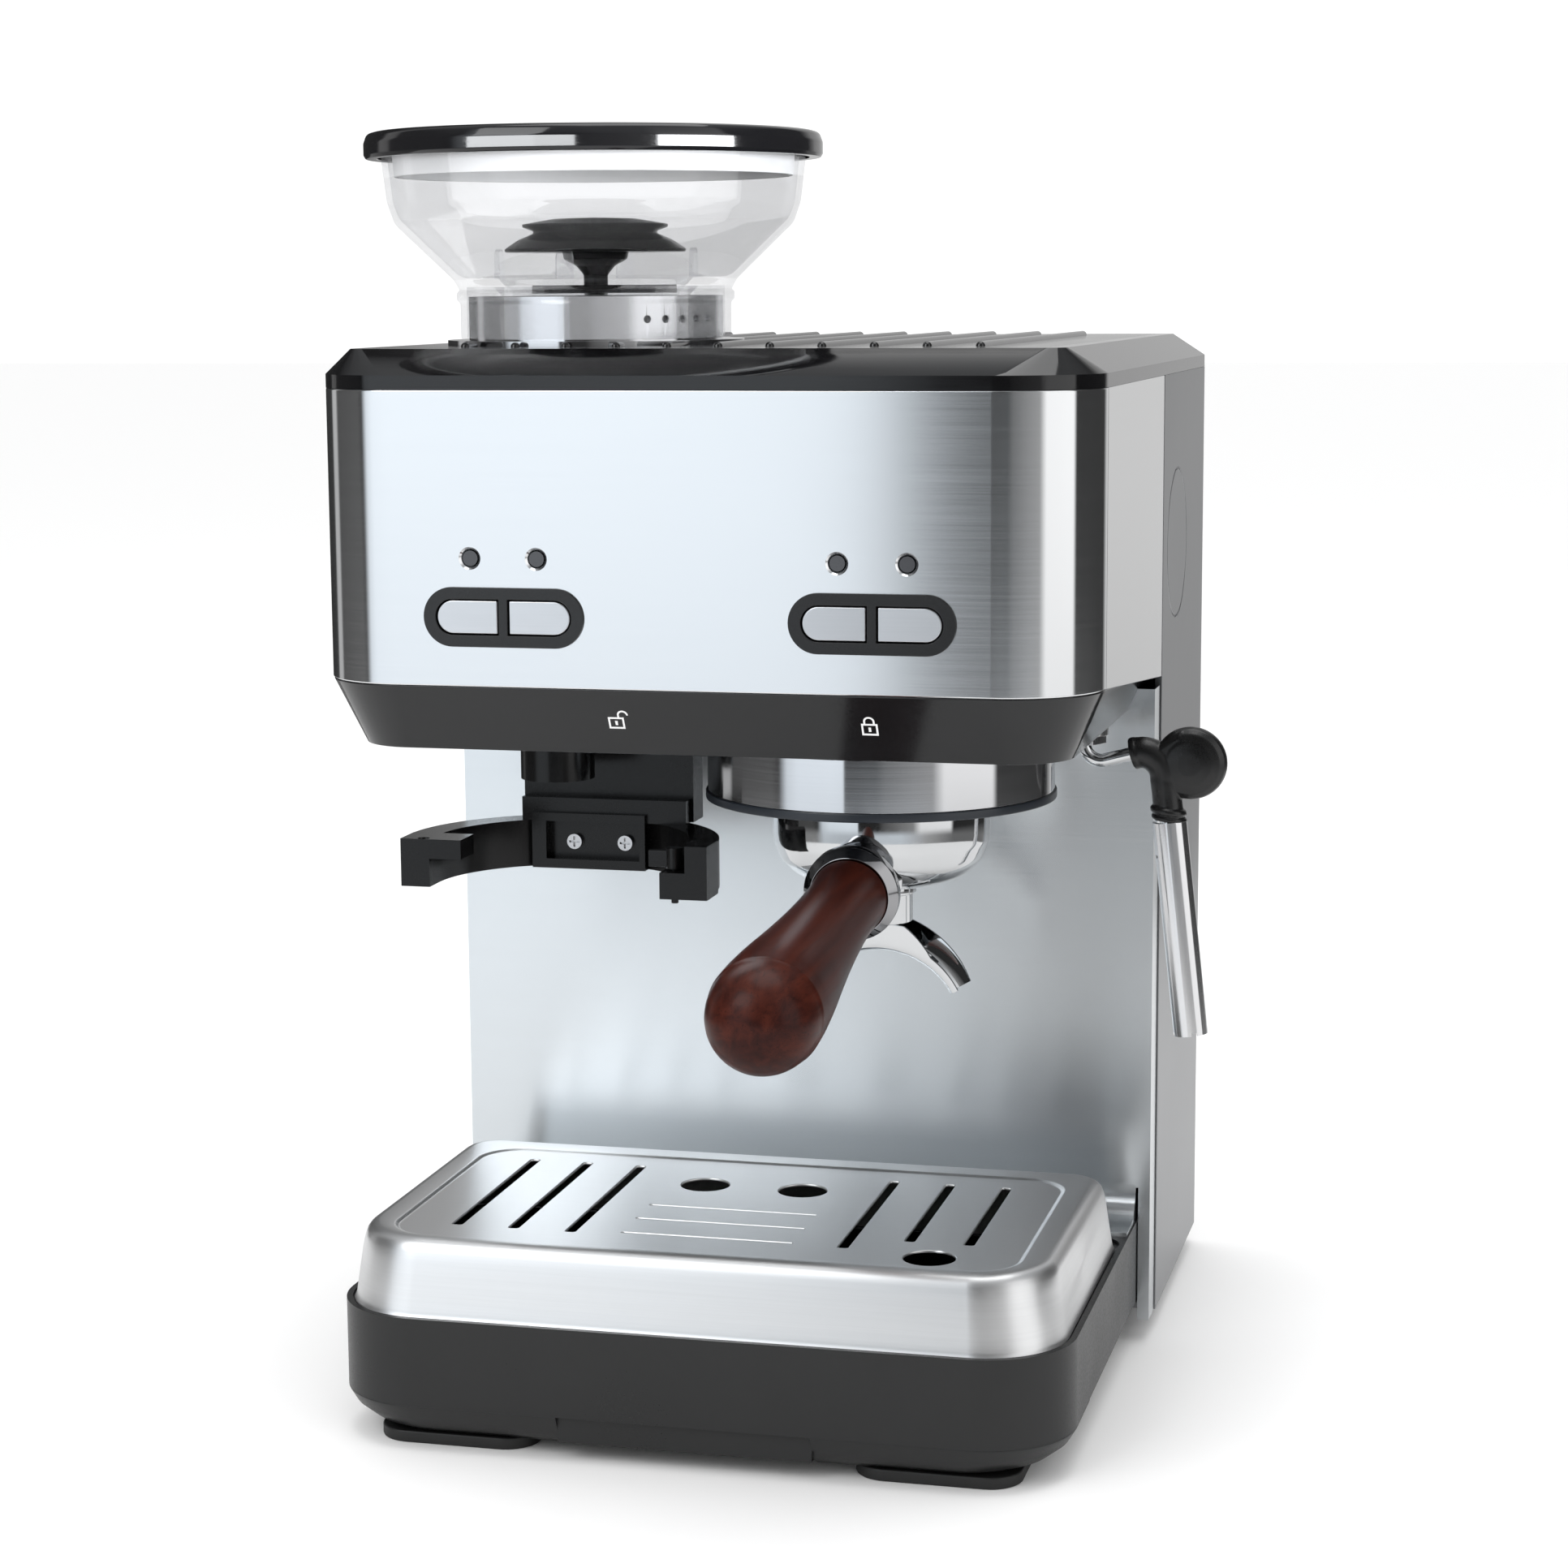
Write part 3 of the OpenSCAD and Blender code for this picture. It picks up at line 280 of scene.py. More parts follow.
def clear(name, color, rough=0.02, ior=1.40, weight=1.0, through=0.45):
    """Clear moulded plastic with a little haze; part of the light passes straight through its thin wall."""
    m = Mat(name, color, rough, 0.0, IOR=ior)
    m.b.inputs["Transmission Weight"].default_value = weight
    h = m.noise(m.coords((34, 34, 34)), 1.0, 4.0, 0.6)
    m.rough(m.remap(h, rough, rough * 2 + 0.01, 0.45, 0.8))
    m.color(m.ramp(h, [(0.3, color), (0.8, tuple(v * 0.985 for v in color))]))
    m.bump(m.noise(m.coords((24, 24, 24)), 1.0, 1.0, 0.4), 0.003, 0.0004)
    t = m.n("ShaderNodeBsdfTransparent")
    t.inputs["Color"].default_value = (*color, 1)
    mx = m.n("ShaderNodeMixShader")
    mx.inputs["Fac"].default_value = through
    m.link(m.b.outputs[0], mx.inputs[1])
    m.link(t.outputs[0], mx.inputs[2])
    m.link(mx.outputs[0], m.t.nodes["Material Output"].inputs["Surface"])
    return m.m


def board(name):
    m = Mat(name, (0.02, 0.14, 0.06), 0.35)
    v = m.n("ShaderNodeTexVoronoi", distance="CHEBYCHEV")
    v.inputs["Scale"].default_value = 220
    m.link(m.coords(), v.inputs["Vector"])
    m.color(m.ramp(v.outputs["Distance"], [(0.0, (0.35, 0.30, 0.10)), (0.08, (0.02, 0.10, 0.045)), (0.6, (0.03, 0.17, 0.07))]))
    m.bump(v.outputs["Distance"], 0.2, 0.0002)
    return m.m


M = {
    "charcoal": plastic("charcoal_satin", (0.0125, 0.0127, 0.0130), 0.34, 1300, 0.08, 0.42, 0.0, 0.10),
    "trim": plastic("trim_charcoal", (0.0085, 0.0088, 0.0095), 0.13, 1500, 0.02, 0.5, 0.0, 0.20),
    "black": plastic("moulded_black", (0.0032, 0.0032, 0.0034), 0.22, 1800, 0.012, 0.36),
    "black_bezel": plastic("bezel_black", (0.010, 0.010, 0.0105), 0.22, 1500, 0.04),
    "gloss": gloss("gloss_black", (0.004, 0.004, 0.0045), 0.05, 0.12),
    "deck": gloss("deck_black", (0.006, 0.006, 0.0065), 0.12, 0.3),
    "panel": brushed("brushed_panel", (0.84, 0.85, 0.86), 0.14, "x", 0.95),
    "side": brushed("brushed_side", (0.85, 0.855, 0.86), 0.22, "x", 0.8),
    "splash": brushed("brushed_splash", (0.72, 0.75, 0.77), 0.25, "x", 0.85),
    "housing": brushed("silver_housing", (0.36, 0.365, 0.375), 0.36, "z", 0.4),
    "tray": brushed("brushed_tray", (0.80, 0.805, 0.81), 0.35, "top", 0.55, tangent="X", turn=0.0),
    "button": brushed("brushed_button", (0.72, 0.73, 0.75), 0.30, "x", 0.5),
    "collar": brushed("turned_collar", (0.76, 0.765, 0.78), 0.09, "x", 0.92),
    "sleeve": brushed("sleeve_steel", (0.76, 0.76, 0.77), 0.16, "z", 0.85),
    "steel": brushed("plain_steel", (0.62, 0.62, 0.63), 0.28, "z", 0.3),
    "chrome": chrome("polished_chrome", (0.68, 0.69, 0.70)),
    "black_chrome": chrome("black_chrome", (0.36, 0.36, 0.37), 0.05),
    "ring": gloss("ring_blue_grey", (0.011, 0.0145, 0.020), 0.28, 0.06, 0.06),
    "rubber": rubber("satin_rubber", (0.006, 0.006, 0.0062), 0.32, 0.08),
    "foot": rubber("foot_rubber", (0.010, 0.010, 0.010), 0.5),
    "cast": cast("cast_alloy", (0.55, 0.56, 0.57)),
    "boiler": cast("boiler_alloy", (0.60, 0.55, 0.46)),
    "brass": cast("machined_brass", (0.70, 0.50, 0.22), 0.3),
    "wood": wood("varnished_wood"),
    "clear": clear("clear_hopper", (0.985, 0.987, 0.992), 0.006, 1.40, 1.0, 0.8),
    "tank": clear("smoked_tank", (0.45, 0.49, 0.52), 0.015, 1.46, 0.85, 0.1),
    "white": plastic("icon_white", (0.86, 0.86, 0.86), 0.4, 900, 0.02),
    "seal": plastic("pale_seal", (0.62, 0.62, 0.62), 0.45, 900, 0.05),
    "hose": rubber("hose_silicone", (0.62, 0.62, 0.60), 0.45, 0.05),
    "board": board("circuit_board"),
    "led": gloss("led_lens", (0.035, 0.036, 0.040), 0.10, 0.6),
    "grinder": plastic("grinder_plastic", (0.06, 0.06, 0.065), 0.4, 900),
}

USE = {
    "base_housing": "charcoal", "foot_blocks": "charcoal", "rubber_feet": "foot", "bottom_cover": "charcoal",
    "splash_panel": "splash", "rear_housing": "housing", "back_panel": "black", "power_inlet_gland": "black",
    "tank_shelf": "black", "head_front_panel": "panel", "head_side_panels": "side", "lower_trim": "trim",
    "lock_icons": "white", "head_bottom_plate": "black", "top_frame": "gloss", "cup_deck": "deck",
    "hopper_seat_ring": "collar", "group_collar": "collar", "collar_ring": "ring", "group_head": "cast",
    "group_gasket": "rubber", "shower_screen": "steel", "boiler": "boiler", "pump": "grinder", "pump_mounts": "rubber",
    "solenoid_valve": "brass", "hoses": "hose", "control_board": "board", "button_bezels": "black_bezel",
    "led_lenses": "led", "button_l1": "button", "button_l2": "button", "button_r1": "button", "button_r2": "button",
    "grinder_housing": "grinder", "grinder_motor": "steel", "motor_pinion": "brass", "burr_shaft": "steel",
    "grinder_chute": "black", "cradle_bracket": "black", "cradle_screws": "steel", "grind_lever": "black",
    "hopper_shell": "clear", "bean_guard": "black", "burr_carrier": "steel", "hopper_lid": "gloss",
    "portafilter_body": "chrome", "filter_basket": "steel", "handle_ferrule": "black_chrome", "wood_handle": "wood",
    "double_spout": "chrome", "drip_basin": "black", "tray_cover": "tray", "wand_socket": "steel", "swivel_cup": "steel",
    "wand_pipe": "chrome", "wand_grip": "rubber", "froth_sleeve": "sleeve", "water_tank": "tank",
}
for name, ob in nodes.items():
    mat = M[USE[name]]
    if not ob.data.materials:
        ob.data.materials.append(mat)
    for i in range(len(ob.data.materials)):
        ob.data.materials[i] = mat

# ---------------------------------------------------------------- softened edges on the CAD nodes


def soften(name, width, segments=2, angle=32.0):
    ob = nodes[name]
    w = ob.modifiers.new("join", "WELD")
    w.merge_threshold = 0.00001
    d = ob.modifiers.new("flats", "DECIMATE")
    d.decimate_type = "DISSOLVE"
    d.angle_limit = math.radians(0.4)
    b = ob.modifiers.new("edge", "BEVEL")
    b.width = width / 1000
    b.segments = segments
    b.limit_method = "ANGLE"
    b.angle_limit = math.radians(angle)
    b.use_clamp_overlap = True
    n = ob.modifiers.new("normals", "WEIGHTED_NORMAL")
    n.weight = 100
    n.keep_sharp = False
    return ob


for name, width in {
    "base_housing": 0.7, "foot_blocks": 0.6, "rubber_feet": 0.6, "bottom_cover": 0.4, "splash_panel": 0.25,
    "rear_housing": 0.5, "back_panel": 0.4, "power_inlet_gland": 0.4, "tank_shelf": 0.4,
    "head_side_panels": 0.3, "lower_trim": 0.35, "head_bottom_plate": 0.4, "top_frame": 0.45, "cup_deck": 0.2,
    "hopper_seat_ring": 0.2, "group_collar": 0.3, "collar_ring": 0.4, "group_head": 0.3, "button_bezels": 0.45,
    "button_l1": 0.45, "button_l2": 0.45, "button_r1": 0.45, "button_r2": 0.45, "grinder_chute": 0.4,
    "cradle_bracket": 0.6, "cradle_screws": 0.2, "grind_lever": 0.3, "double_spout": 0.35, "drip_basin": 0.5,
    "wand_socket": 0.3, "froth_sleeve": 0.15, "water_tank": 0.8, "filter_basket": 0.12,
}.items():
    soften(name, width)

# ---------------------------------------------------------------- mesh helpers


def mesh_object(name, bm, mat, body, replaces=(), sharp=38.0):
    me = bpy.data.meshes.new(name)
    bmesh.ops.recalc_face_normals(bm, faces=bm.faces[:])
    bm.to_mesh(me)
    bm.free()
    me.polygons.foreach_set("use_smooth", [True] * len(me.polygons))
    me.set_sharp_from_angle(angle=math.radians(sharp))
    me.materials.append(mat)
    ob = bpy.data.objects.new(name, me)
    scene.collection.objects.link(ob)
    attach(ob, body)
    if replaces:
        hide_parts(*replaces)
    return ob


def fillet(points):
    """Profile of (r, z) or (r, z, radius): corners with a radius become arcs."""
    out = []
    n = len(points)
    for i, p in enumerate(points):
        if len(p) == 2 or p[2] <= 0 or i in (0, n - 1):
            out.append((p[0], p[1]))
            continue
        a, b, d = Vector(points[i - 1][:2]), Vector(p[:2]), Vector(points[(i + 1) % n][:2])
        u, v = (a - b), (d - b)
        lu, lv = u.length, v.length
        u.normalize(), v.normalize()
        ang = math.acos(max(-1, min(1, u.dot(v))))
        if ang > math.radians(176):
            out.append((p[0], p[1]))
            continue
        t = min(p[2] / math.tan(ang / 2), lu * 0.48, lv * 0.48)
        r = t * math.tan(ang / 2)
        mid = (u + v).normalized()
        centre = b + mid * (r / math.sin(ang / 2))
        s0, s1 = b + u * t - centre, b + v * t - centre
        a0, a1 = math.atan2(s0.y, s0.x), math.atan2(s1.y, s1.x)
        da = (a1 - a0 + math.pi) % (2 * math.pi) - math.pi
        steps = max(3, int(abs(da) / math.radians(9)))
        for k in range(steps + 1):
            aa = a0 + da * k / steps
            out.append((centre.x + r * math.cos(aa), centre.y + r * math.sin(aa)))
    return out


def lathe(bm, profile, place, seg=144, closed=False):
    """Adds a solid of revolution. place maps (x, y, z) in mm of the piece's own axis to the row frame."""
    pts = fillet(profile)
    rings = []
    for r, z in pts:
        if r < 1e-6:
            rings.append([bm.verts.new(place(0, 0, z))])
        else:
            rings.append([bm.verts.new(place(r * math.cos(2 * math.pi * k / seg), r * math.sin(2 * math.pi * k / seg), z))
                          for k in range(seg)])
    pairs = list(zip(rings, rings[1:])) + ([(rings[-1], rings[0])] if closed else [])
    for a, b in pairs:
        for k in range(seg):
            k2 = (k + 1) % seg
            f = [a[k % len(a)], a[k2 % len(a)], b[k2 % len(b)], b[k % len(b)]]
            f = [v for i, v in enumerate(f) if v not in f[:i]]
            if len(f) > 2:
                bm.faces.new(f)


def upright(x, y):
    return lambda a, b, z: V(x + a, y + b, z)


def along_handle(a, b, t):
    # t runs out along the drooping handle axis, a is sideways, b points up and out of the axis
    return V(GX + a, GY - t * math.cos(DROOP) + b * math.sin(DROOP), 181.5 - t * math.sin(DROOP) - b * math.cos(DROOP))


def outline(hw, y0, y1, rf, rb, n=14):
    """Rounded rectangle, the same number of points for every size, counter-clockwise from the rear right corner."""
    pts = []
    for cx, cy, r, a0 in ((hw - rb, y1 - rb, rb, 0), (-hw + rb, y1 - rb, rb, 90), (-hw + rf, y0 + rf, rf, 180), (hw - rf, y0 + rf, rf, 270)):
        for k in range(n + 1):
            a = math.radians(a0 + 90 * k / n)
            pts.append((cx + r * math.cos(a), cy + r * math.sin(a)))
    return pts


def loft(bm, rings, cap_first=True, cap_last=True):
    """rings: lists of row-frame points, all the same length."""
    vs = [[bm.verts.new(p) for p in ring] for ring in rings]
    n = len(vs[0])
    for a, b in zip(vs, vs[1:]):
        for k in range(n):
            bm.faces.new((a[k], a[(k + 1) % n], b[(k + 1) % n], b[k]))
    if cap_first:
        bm.faces.new(vs[0][::-1])
    if cap_last:
        bm.faces.new(vs[-1])
    return vs


def level(z, *plan):
    return [V(x, y, z) for x, y in outline(*plan)]


# ---------------------------------------------------------------- wooden handle and ferrule
bm = bmesh.new()
wood_pts = [(12.4, 48.6), (12.15, 54), (12.0, 62), (12.05, 70), (12.35, 80), (12.95, 92), (13.9, 106), (15.05, 120),
            (16.15, 132), (16.95, 143), (17.35, 151), (17.4, 157)]
# smooth the control points with a Catmull-Rom curve
fine = []
for i in range(len(wood_pts) - 1):
    p0 = wood_pts[max(0, i - 1)]
    p1, p2 = wood_pts[i], wood_pts[i + 1]
    p3 = wood_pts[min(len(wood_pts) - 1, i + 2)]
    for k in range(6):
        t = k / 6
        fine.append(tuple(0.5 * ((2 * p1[j]) + (-p0[j] + p2[j]) * t + (2 * p0[j] - 5 * p1[j] + 4 * p2[j] - p3[j]) * t * t
                                 + (-p0[j] + 3 * p1[j] - 3 * p2[j] + p3[j]) * t ** 3) for j in (0, 1)))
# a crisp turned ridge at the widest point, then a full domed end
prof = [(0, 48.6), (11.6, 48.6), (12.4, 49.4)] + fine[2:-5] + [(17.42, 156.6), (17.45, 157.4), (17.30, 158.0), (17.12, 158.6), (17.02, 160.0), (16.75, 162.0),
    (16.25, 164.4), (15.4, 166.9), (14.1, 169.4), (12.3, 171.7), (10.0, 173.6), (7.4, 175.0), (4.6, 175.9), (2.2, 176.22), (0, 176.3)]
lathe(bm, prof, along_handle, 160)
handle = mesh_object("turned_handle", bm, M["wood"], "portafilter", ("wood_handle",), 60)

bm = bmesh.new()
lathe(bm, [(0, 37.9), (13.8, 37.9, 0.6), (15.1, 41.4, 1.0), (15.5, 42.6, 1.2), (15.5, 45.9, 0.4), (12.85, 48.9, 0.25), (12.3, 48.6), (0, 48.6)], along_handle, 144)
mesh_object("ferrule", bm, M["black_chrome"], "portafilter", ("handle_ferrule",), 60)

# ---------------------------------------------------------------- portafilter cup
bm = bmesh.new()
lathe(bm, [(5.0, 177.4), (5.0, 171.2), (11, 171.2, 2), (20.5, 172.2, 14), (28.6, 175.2, 12), (33.6, 180.0, 8), (35.7, 186.2, 8), (36, 190),
           (36, 200.4, 0.8), (35, 201.5, 0.5), (35, 211.4, 0.5), (31.2, 211.4, 0.5), (31.2, 177.4, 2.0), (5.0, 177.4)],
      upright(GX, GY), 176)
for a0 in (0, 180):
    # bayonet ears
    ring = []
    for z in (206.4, 210.4):
        pts = []
        for k in range(9):
            a = math.radians(a0 - 14 + 28 * k / 8)
            pts.append((34.2, a))
        for k in range(9):
            a = math.radians(a0 + 14 - 28 * k / 8)
            pts.append((41.6, a))
        ring.append([V(GX + r * math.cos(a), GY + r * math.sin(a), z) for r, a in pts])
    loft(bm, ring)
# flared neck into the ferrule
lathe(bm, [(0, 27), (13.2, 29.5), (12.0, 32, 3), (10.6, 34.4, 3), (10.2, 37.9), (0, 37.9)], along_handle, 96)
mesh_object("portafilter_cup", bm, M["chrome"], "portafilter", ("portafilter_body",), 40)

# ---------------------------------------------------------------- double spout, two shallow pressed channels
bm = bmesh.new()
lathe(bm, [(5.0, 158.6), (10.4, 158.6, 0.4), (10.4, 168.1, 0.3), (11.6, 168.4, 0.3), (11.6, 171.1, 0.3), (5.0, 171.1)], upright(GX, GY), 96, closed=True)
rings = []
for k in range(-30, 31):
    a = math.radians(61 * k / 30)
    f = min(1, max(0, (abs(math.degrees(a)) - 14) / 46))
    hw = 7.0 - 1.5 * f
    near = 37 - 5.6 * min(1, f * 2.2) - 0.8 * f
    back = 37 - 3.6 * f
    sec = [(-hw, near), (-hw, 30.2), (-hw + 0.5, 28.5), (-hw + 1.9, 27.6), (hw - 1.9, 27.6), (hw - 0.5, 28.5), (hw, 30.2), (hw, back),
           (hw - 0.5, back + 0.12), (hw - 1.3, back), (hw - 1.4, 30.3), (hw - 2.2, 29.2), (-hw + 2.2, 29.2), (-hw + 1.4, 30.3), (-hw + 1.3, near), (-hw + 0.5, near + 0.12)]
    rings.append([V(GX + r * math.sin(a), GY + y, 122 + r * math.cos(a)) for y, r in sec])
loft(bm, rings)
mesh_object("pressed_spout", bm, M["chrome"], "portafilter", ("double_spout",), 40)

# ---------------------------------------------------------------- hopper
bm = bmesh.new()
hop = upright(HX, HY)
lathe(bm, [(43.4, 350.1), (45.6, 350.1, 0.4), (45.6, 361.6, 0.5), (46.8, 363.0, 0.5), (46.8, 365.2, 0.5), (45.9, 366.2, 0.4), (46.6, 367.6, 0.5),
           (47.8, 369.6, 1.5), (66.9, 388.0, 7), (69.3, 395, 10), (71.2, 411.0, 0.5), (69.0, 411.0, 0.5), (67.2, 394.6, 8), (65.2, 389.6, 6),
           (46.3, 371.3, 2), (44, 370.2, 1), (33, 370.2, 1), (30.6, 367.6, 1), (28, 365.4, 0.4), (28, 364.0), (31.4, 364.0, 0.4), (34.6, 367.2, 0.6),
           (43.4, 367.2), (43.4, 350.1)], hop, 176)
for a in (0, 90, 180, 270):
    # prongs around the bean guard, with rounded tops
    ca, sa = math.cos(math.radians(a)), math.sin(math.radians(a))
    rings = []
    for z, half in ((369.9, 3.0), (376.5, 2.9), (378.4, 2.5), (379.4, 1.6), (379.8, 0.6)):
        q = [(33.4, -half), (35.0, -half), (35.0, half), (33.4, half)]
        rings.append([V(HX + r * ca - t * sa, HY + r * sa + t * ca, z) for r, t in q])
    loft(bm, rings)
mesh_object("clear_hopper_shell", bm, M["clear"], "hopper", ("hopper_shell",), 45)

bm = bmesh.new()
lathe(bm, [(0, 411.5), (65.0, 411.5), (65.0, 403.5, 0.3), (66.8, 403.5, 0.3), (67.3, 411.5), (72.2, 411.5), (72.2, 409.4, 0.3), (76.0, 409.4, 0.6),
           (76.7, 410.6, 0.6), (76.7, 414.4, 2.5), (75.6, 417.4, 2.0), (73.0, 418.1, 1.5), (72.0, 417.7, 0.5), (71.0, 418.0, 0.5), (0, 418.1)], hop, 192)
lid = mesh_object("gloss_lid", bm, M["gloss"], "hopper_lid", ("hopper_lid",), 60)
# the pale seal under the lid
lid.data.materials.append(M["seal"])
centre = V(HX, HY, 0)
for poly in lid.data.polygons:
    q = poly.center - centre
    if poly.center.z < V(0, 0, 411.9).z and math.hypot(q.x, q.y) < 0.0675:
        poly.material_index = 1

bm = bmesh.new()
lathe(bm, [(0, 364.2), (4, 364.2), (4.1, 371, 1), (6.5, 374, 1), (10.6, 376.2, 0.6), (11.2, 378.6, 0.5), (30.2, 378.6, 0.3), (30.6, 379.5, 0.4), (26, 382.6, 8),
           (19.8, 385.2, 0.6), (24.3, 386.8, 0.3), (24.6, 387.8, 0.4), (14, 389.6, 5), (0, 390.1)], hop, 128)
for a in (0, 120, 240):
    ca, sa = math.cos(math.radians(a)), math.sin(math.radians(a))
    rings = []
    for z, half in ((364.9, 1.0), (367.2, 0.9), (367.6, 0.6)):
        q = [(3.0, -half), (28.0, -half), (28.0, half), (3.0, half)]
        rings.append([V(HX + r * ca - t * sa, HY + r * sa + t * ca, z) for r, t in q])
    loft(bm, rings)
mesh_object("guard", bm, M["black"], "hopper", ("bean_guard",), 40)

# ---------------------------------------------------------------- cutters and flat-safe shading


def cut_with(ob, cut, sharp=35.0):
    """Subtracts a bmesh from a piece, and keeps its material and shading."""
    cm = bpy.data.meshes.new("cutters")
    bmesh.ops.recalc_face_normals(cut, faces=cut.faces[:])
    cut.to_mesh(cm)
    cut.free()
    tool = bpy.data.objects.new("cutters", cm)
    scene.collection.objects.link(tool)
    bo = ob.modifiers.new("cut", "BOOLEAN")
    bo.operation = "DIFFERENCE"
    bo.solver = "EXACT"
    bo.object = tool
    bpy.context.view_layer.update()
    dg = bpy.context.evaluated_depsgraph_get()
    new_mesh = bpy.data.meshes.new_from_object(ob.evaluated_get(dg))
    mat = ob.data.materials[0]
    ob.modifiers.clear()
    ob.data = new_mesh
    ob.data.materials.clear()
    ob.data.materials.append(mat)
    ob.data.polygons.foreach_set("material_index", [0] * len(ob.data.polygons))
    ob.data.polygons.foreach_set("use_smooth", [True] * len(ob.data.polygons))
    ob.data.set_sharp_from_angle(angle=math.radians(sharp))
    bpy.data.objects.remove(tool)
    flat_normals(ob)


def flat_normals(ob):
    n = ob.modifiers.new("normals", "WEIGHTED_NORMAL")
    n.weight = 100
    n.keep_sharp = True


def slot_outline(cx, cy, lx, ly, r, n=5):
    pts = []
    for sx, sy, a0 in ((1, 1, 0), (-1, 1, 90), (-1, -1, 180), (1, -1, 270)):
        for k in range(n + 1):
            a = math.radians(a0 + 90 * k / n)
            pts.append((cx + sx * (lx / 2 - r) + r * math.cos(a), cy + sy * (ly / 2 - r) + r * math.sin(a)))
    return pts


# ---------------------------------------------------------------- front panel, a bent sheet with rolled edges
def sheet_ring(z, d):
    """Outline of the bent sheet at one height, drawn in by d at its edges."""
    hw, r, t = 127.0, 31.0, 1.5
    n = 40
    ro, ri = r - d, r - t + d
    eo, ei = math.asin(0.2 / ro), math.asin(0.2 / ri)
    pts = []
    for k in range(n + 1):
        a = math.pi + eo + (math.pi / 2 - eo) * k / n
        pts.append((-hw + r + ro * math.cos(a), r + ro * math.sin(a)))
    for k in range(n + 1):
        a = 1.5 * math.pi + (math.pi / 2 - eo) * k / n
        pts.append((hw - r + ro * math.cos(a), r + ro * math.sin(a)))
    for k in range(n + 1):
        a = 2 * math.pi - ei - (math.pi / 2 - ei) * k / n
        pts.append((hw - r + ri * math.cos(a), r + ri * math.sin(a)))
    for k in range(n + 1):
        a = 1.5 * math.pi - (math.pi / 2 - ei) * k / n
        pts.append((-hw + r + ri * math.cos(a), r + ri * math.sin(a)))
    return [V(x, y, z) for x, y in pts]


bm = bmesh.new()
loft(bm, [sheet_ring(z, d) for z, d in ((242.2, 0.55), (242.28, 0.3), (242.45, 0.12), (242.75, 0.0), (335.05, 0.0), (335.35, 0.12), (335.52, 0.3), (335.6, 0.55))])
panel = mesh_object("bent_front_panel", bm, M["panel"], "machine", ("head_front_panel",), 35)
cut = bmesh.new()
for x0 in (-59.3, 59.3):
    rings = []
    for y, e in ((-1.0, 0.35), (0.02, 0.3), (0.35, 0.0), (4.0, 0.0)):
        rings.append([V(x, y, z) for x, z in slot_outline(x0, 264.4, 50.4 + 2 * e, 16.5 + 2 * e, 8.25 + e, 14)])
    loft(cut, rings)
    for d in (-10.95, 10.95):
        rings = []
        for y, r in ((-1.0, 3.66), (0.02, 3.62), (0.3, 3.35), (0.9, 2.75), (4.0, 2.7)):
            rings.append([V(x0 + d + r * math.cos(a), y, 282.9 + r * math.sin(a)) for a in [math.radians(10 * k) for k in range(36)]])
        loft(cut, rings)
cut_with(panel, cut)

# ---------------------------------------------------------------- tray cover
bm = bmesh.new()
outer = [(37.0, 119.0, -12.0, 124.2, 27, 12), (37.5, 119.35, -12.35, 124.4, 27.3, 12.3), (38.1, 119.1, -12.1, 124.0, 27, 12), (39.0, 118.7, -11.7, 123.6, 27, 12),
         (44.0, 118.0, -11.0, 122.8, 26.6, 12), (50.0, 117.2, -10.1, 122.0, 26.2, 12), (55.0, 116.5, -9.3, 121.2, 25.8, 11.6),
         (58.2, 115.9, -8.6, 120.6, 25.4, 11.3), (60.2, 115.2, -7.9, 119.9, 24.9, 11), (61.5, 114.2, -6.9, 118.9, 24.2, 10.5),
         (62.3, 112.9, -5.6, 117.6, 23.2, 10), (62.6, 111.3, -4.0, 116.0, 22.0, 9.6),
         (62.6, 105.2, -2.2, 108.8, 15.4, 15.0), (62.45, 104.5, -1.6, 108.1, 14.8, 14.6), (62.05, 103.9, -1.1, 107.5, 14.3, 14.3), (61.8, 103.2, -0.5, 106.8, 13.8, 13.8)]
inner = [(61.0, 102.6, 0.1, 106.2, 13.2, 13.2), (61.6, 104.0, -1.0, 107.6, 14, 14), (61.7, 110.2, -3.0, 115.0, 21, 9.2), (61.0, 112.4, -5.1, 117.2, 22.6, 9.8),
         (59.6, 114.0, -6.8, 118.8, 24, 10.5), (57.0, 115.0, -8.0, 119.8, 24.8, 11), (50.0, 116.3, -9.3, 121.2, 25.4, 11.4), (39.0, 117.8, -10.9, 122.8, 26, 11.6), (37.0, 118.1, -11.2, 123.4, 26.2, 11.6)]
n_ring = len(outline(100, 0, 100, 10, 10))
rings = [level(z, *p) for z, *p in outer]
vs = loft(bm, rings, cap_first=False, cap_last=True)
vi = loft(bm, [level(z, *p) for z, *p in inner], cap_first=True, cap_last=False)
for k in range(n_ring):
    bm.faces.new((vs[0][k], vs[0][(k + 1) % n_ring], vi[-1][(k + 1) % n_ring], vi[-1][k]))
tray = mesh_object("pressed_tray_cover", bm, M["tray"], "tray_cover", ("tray_cover",), 40)


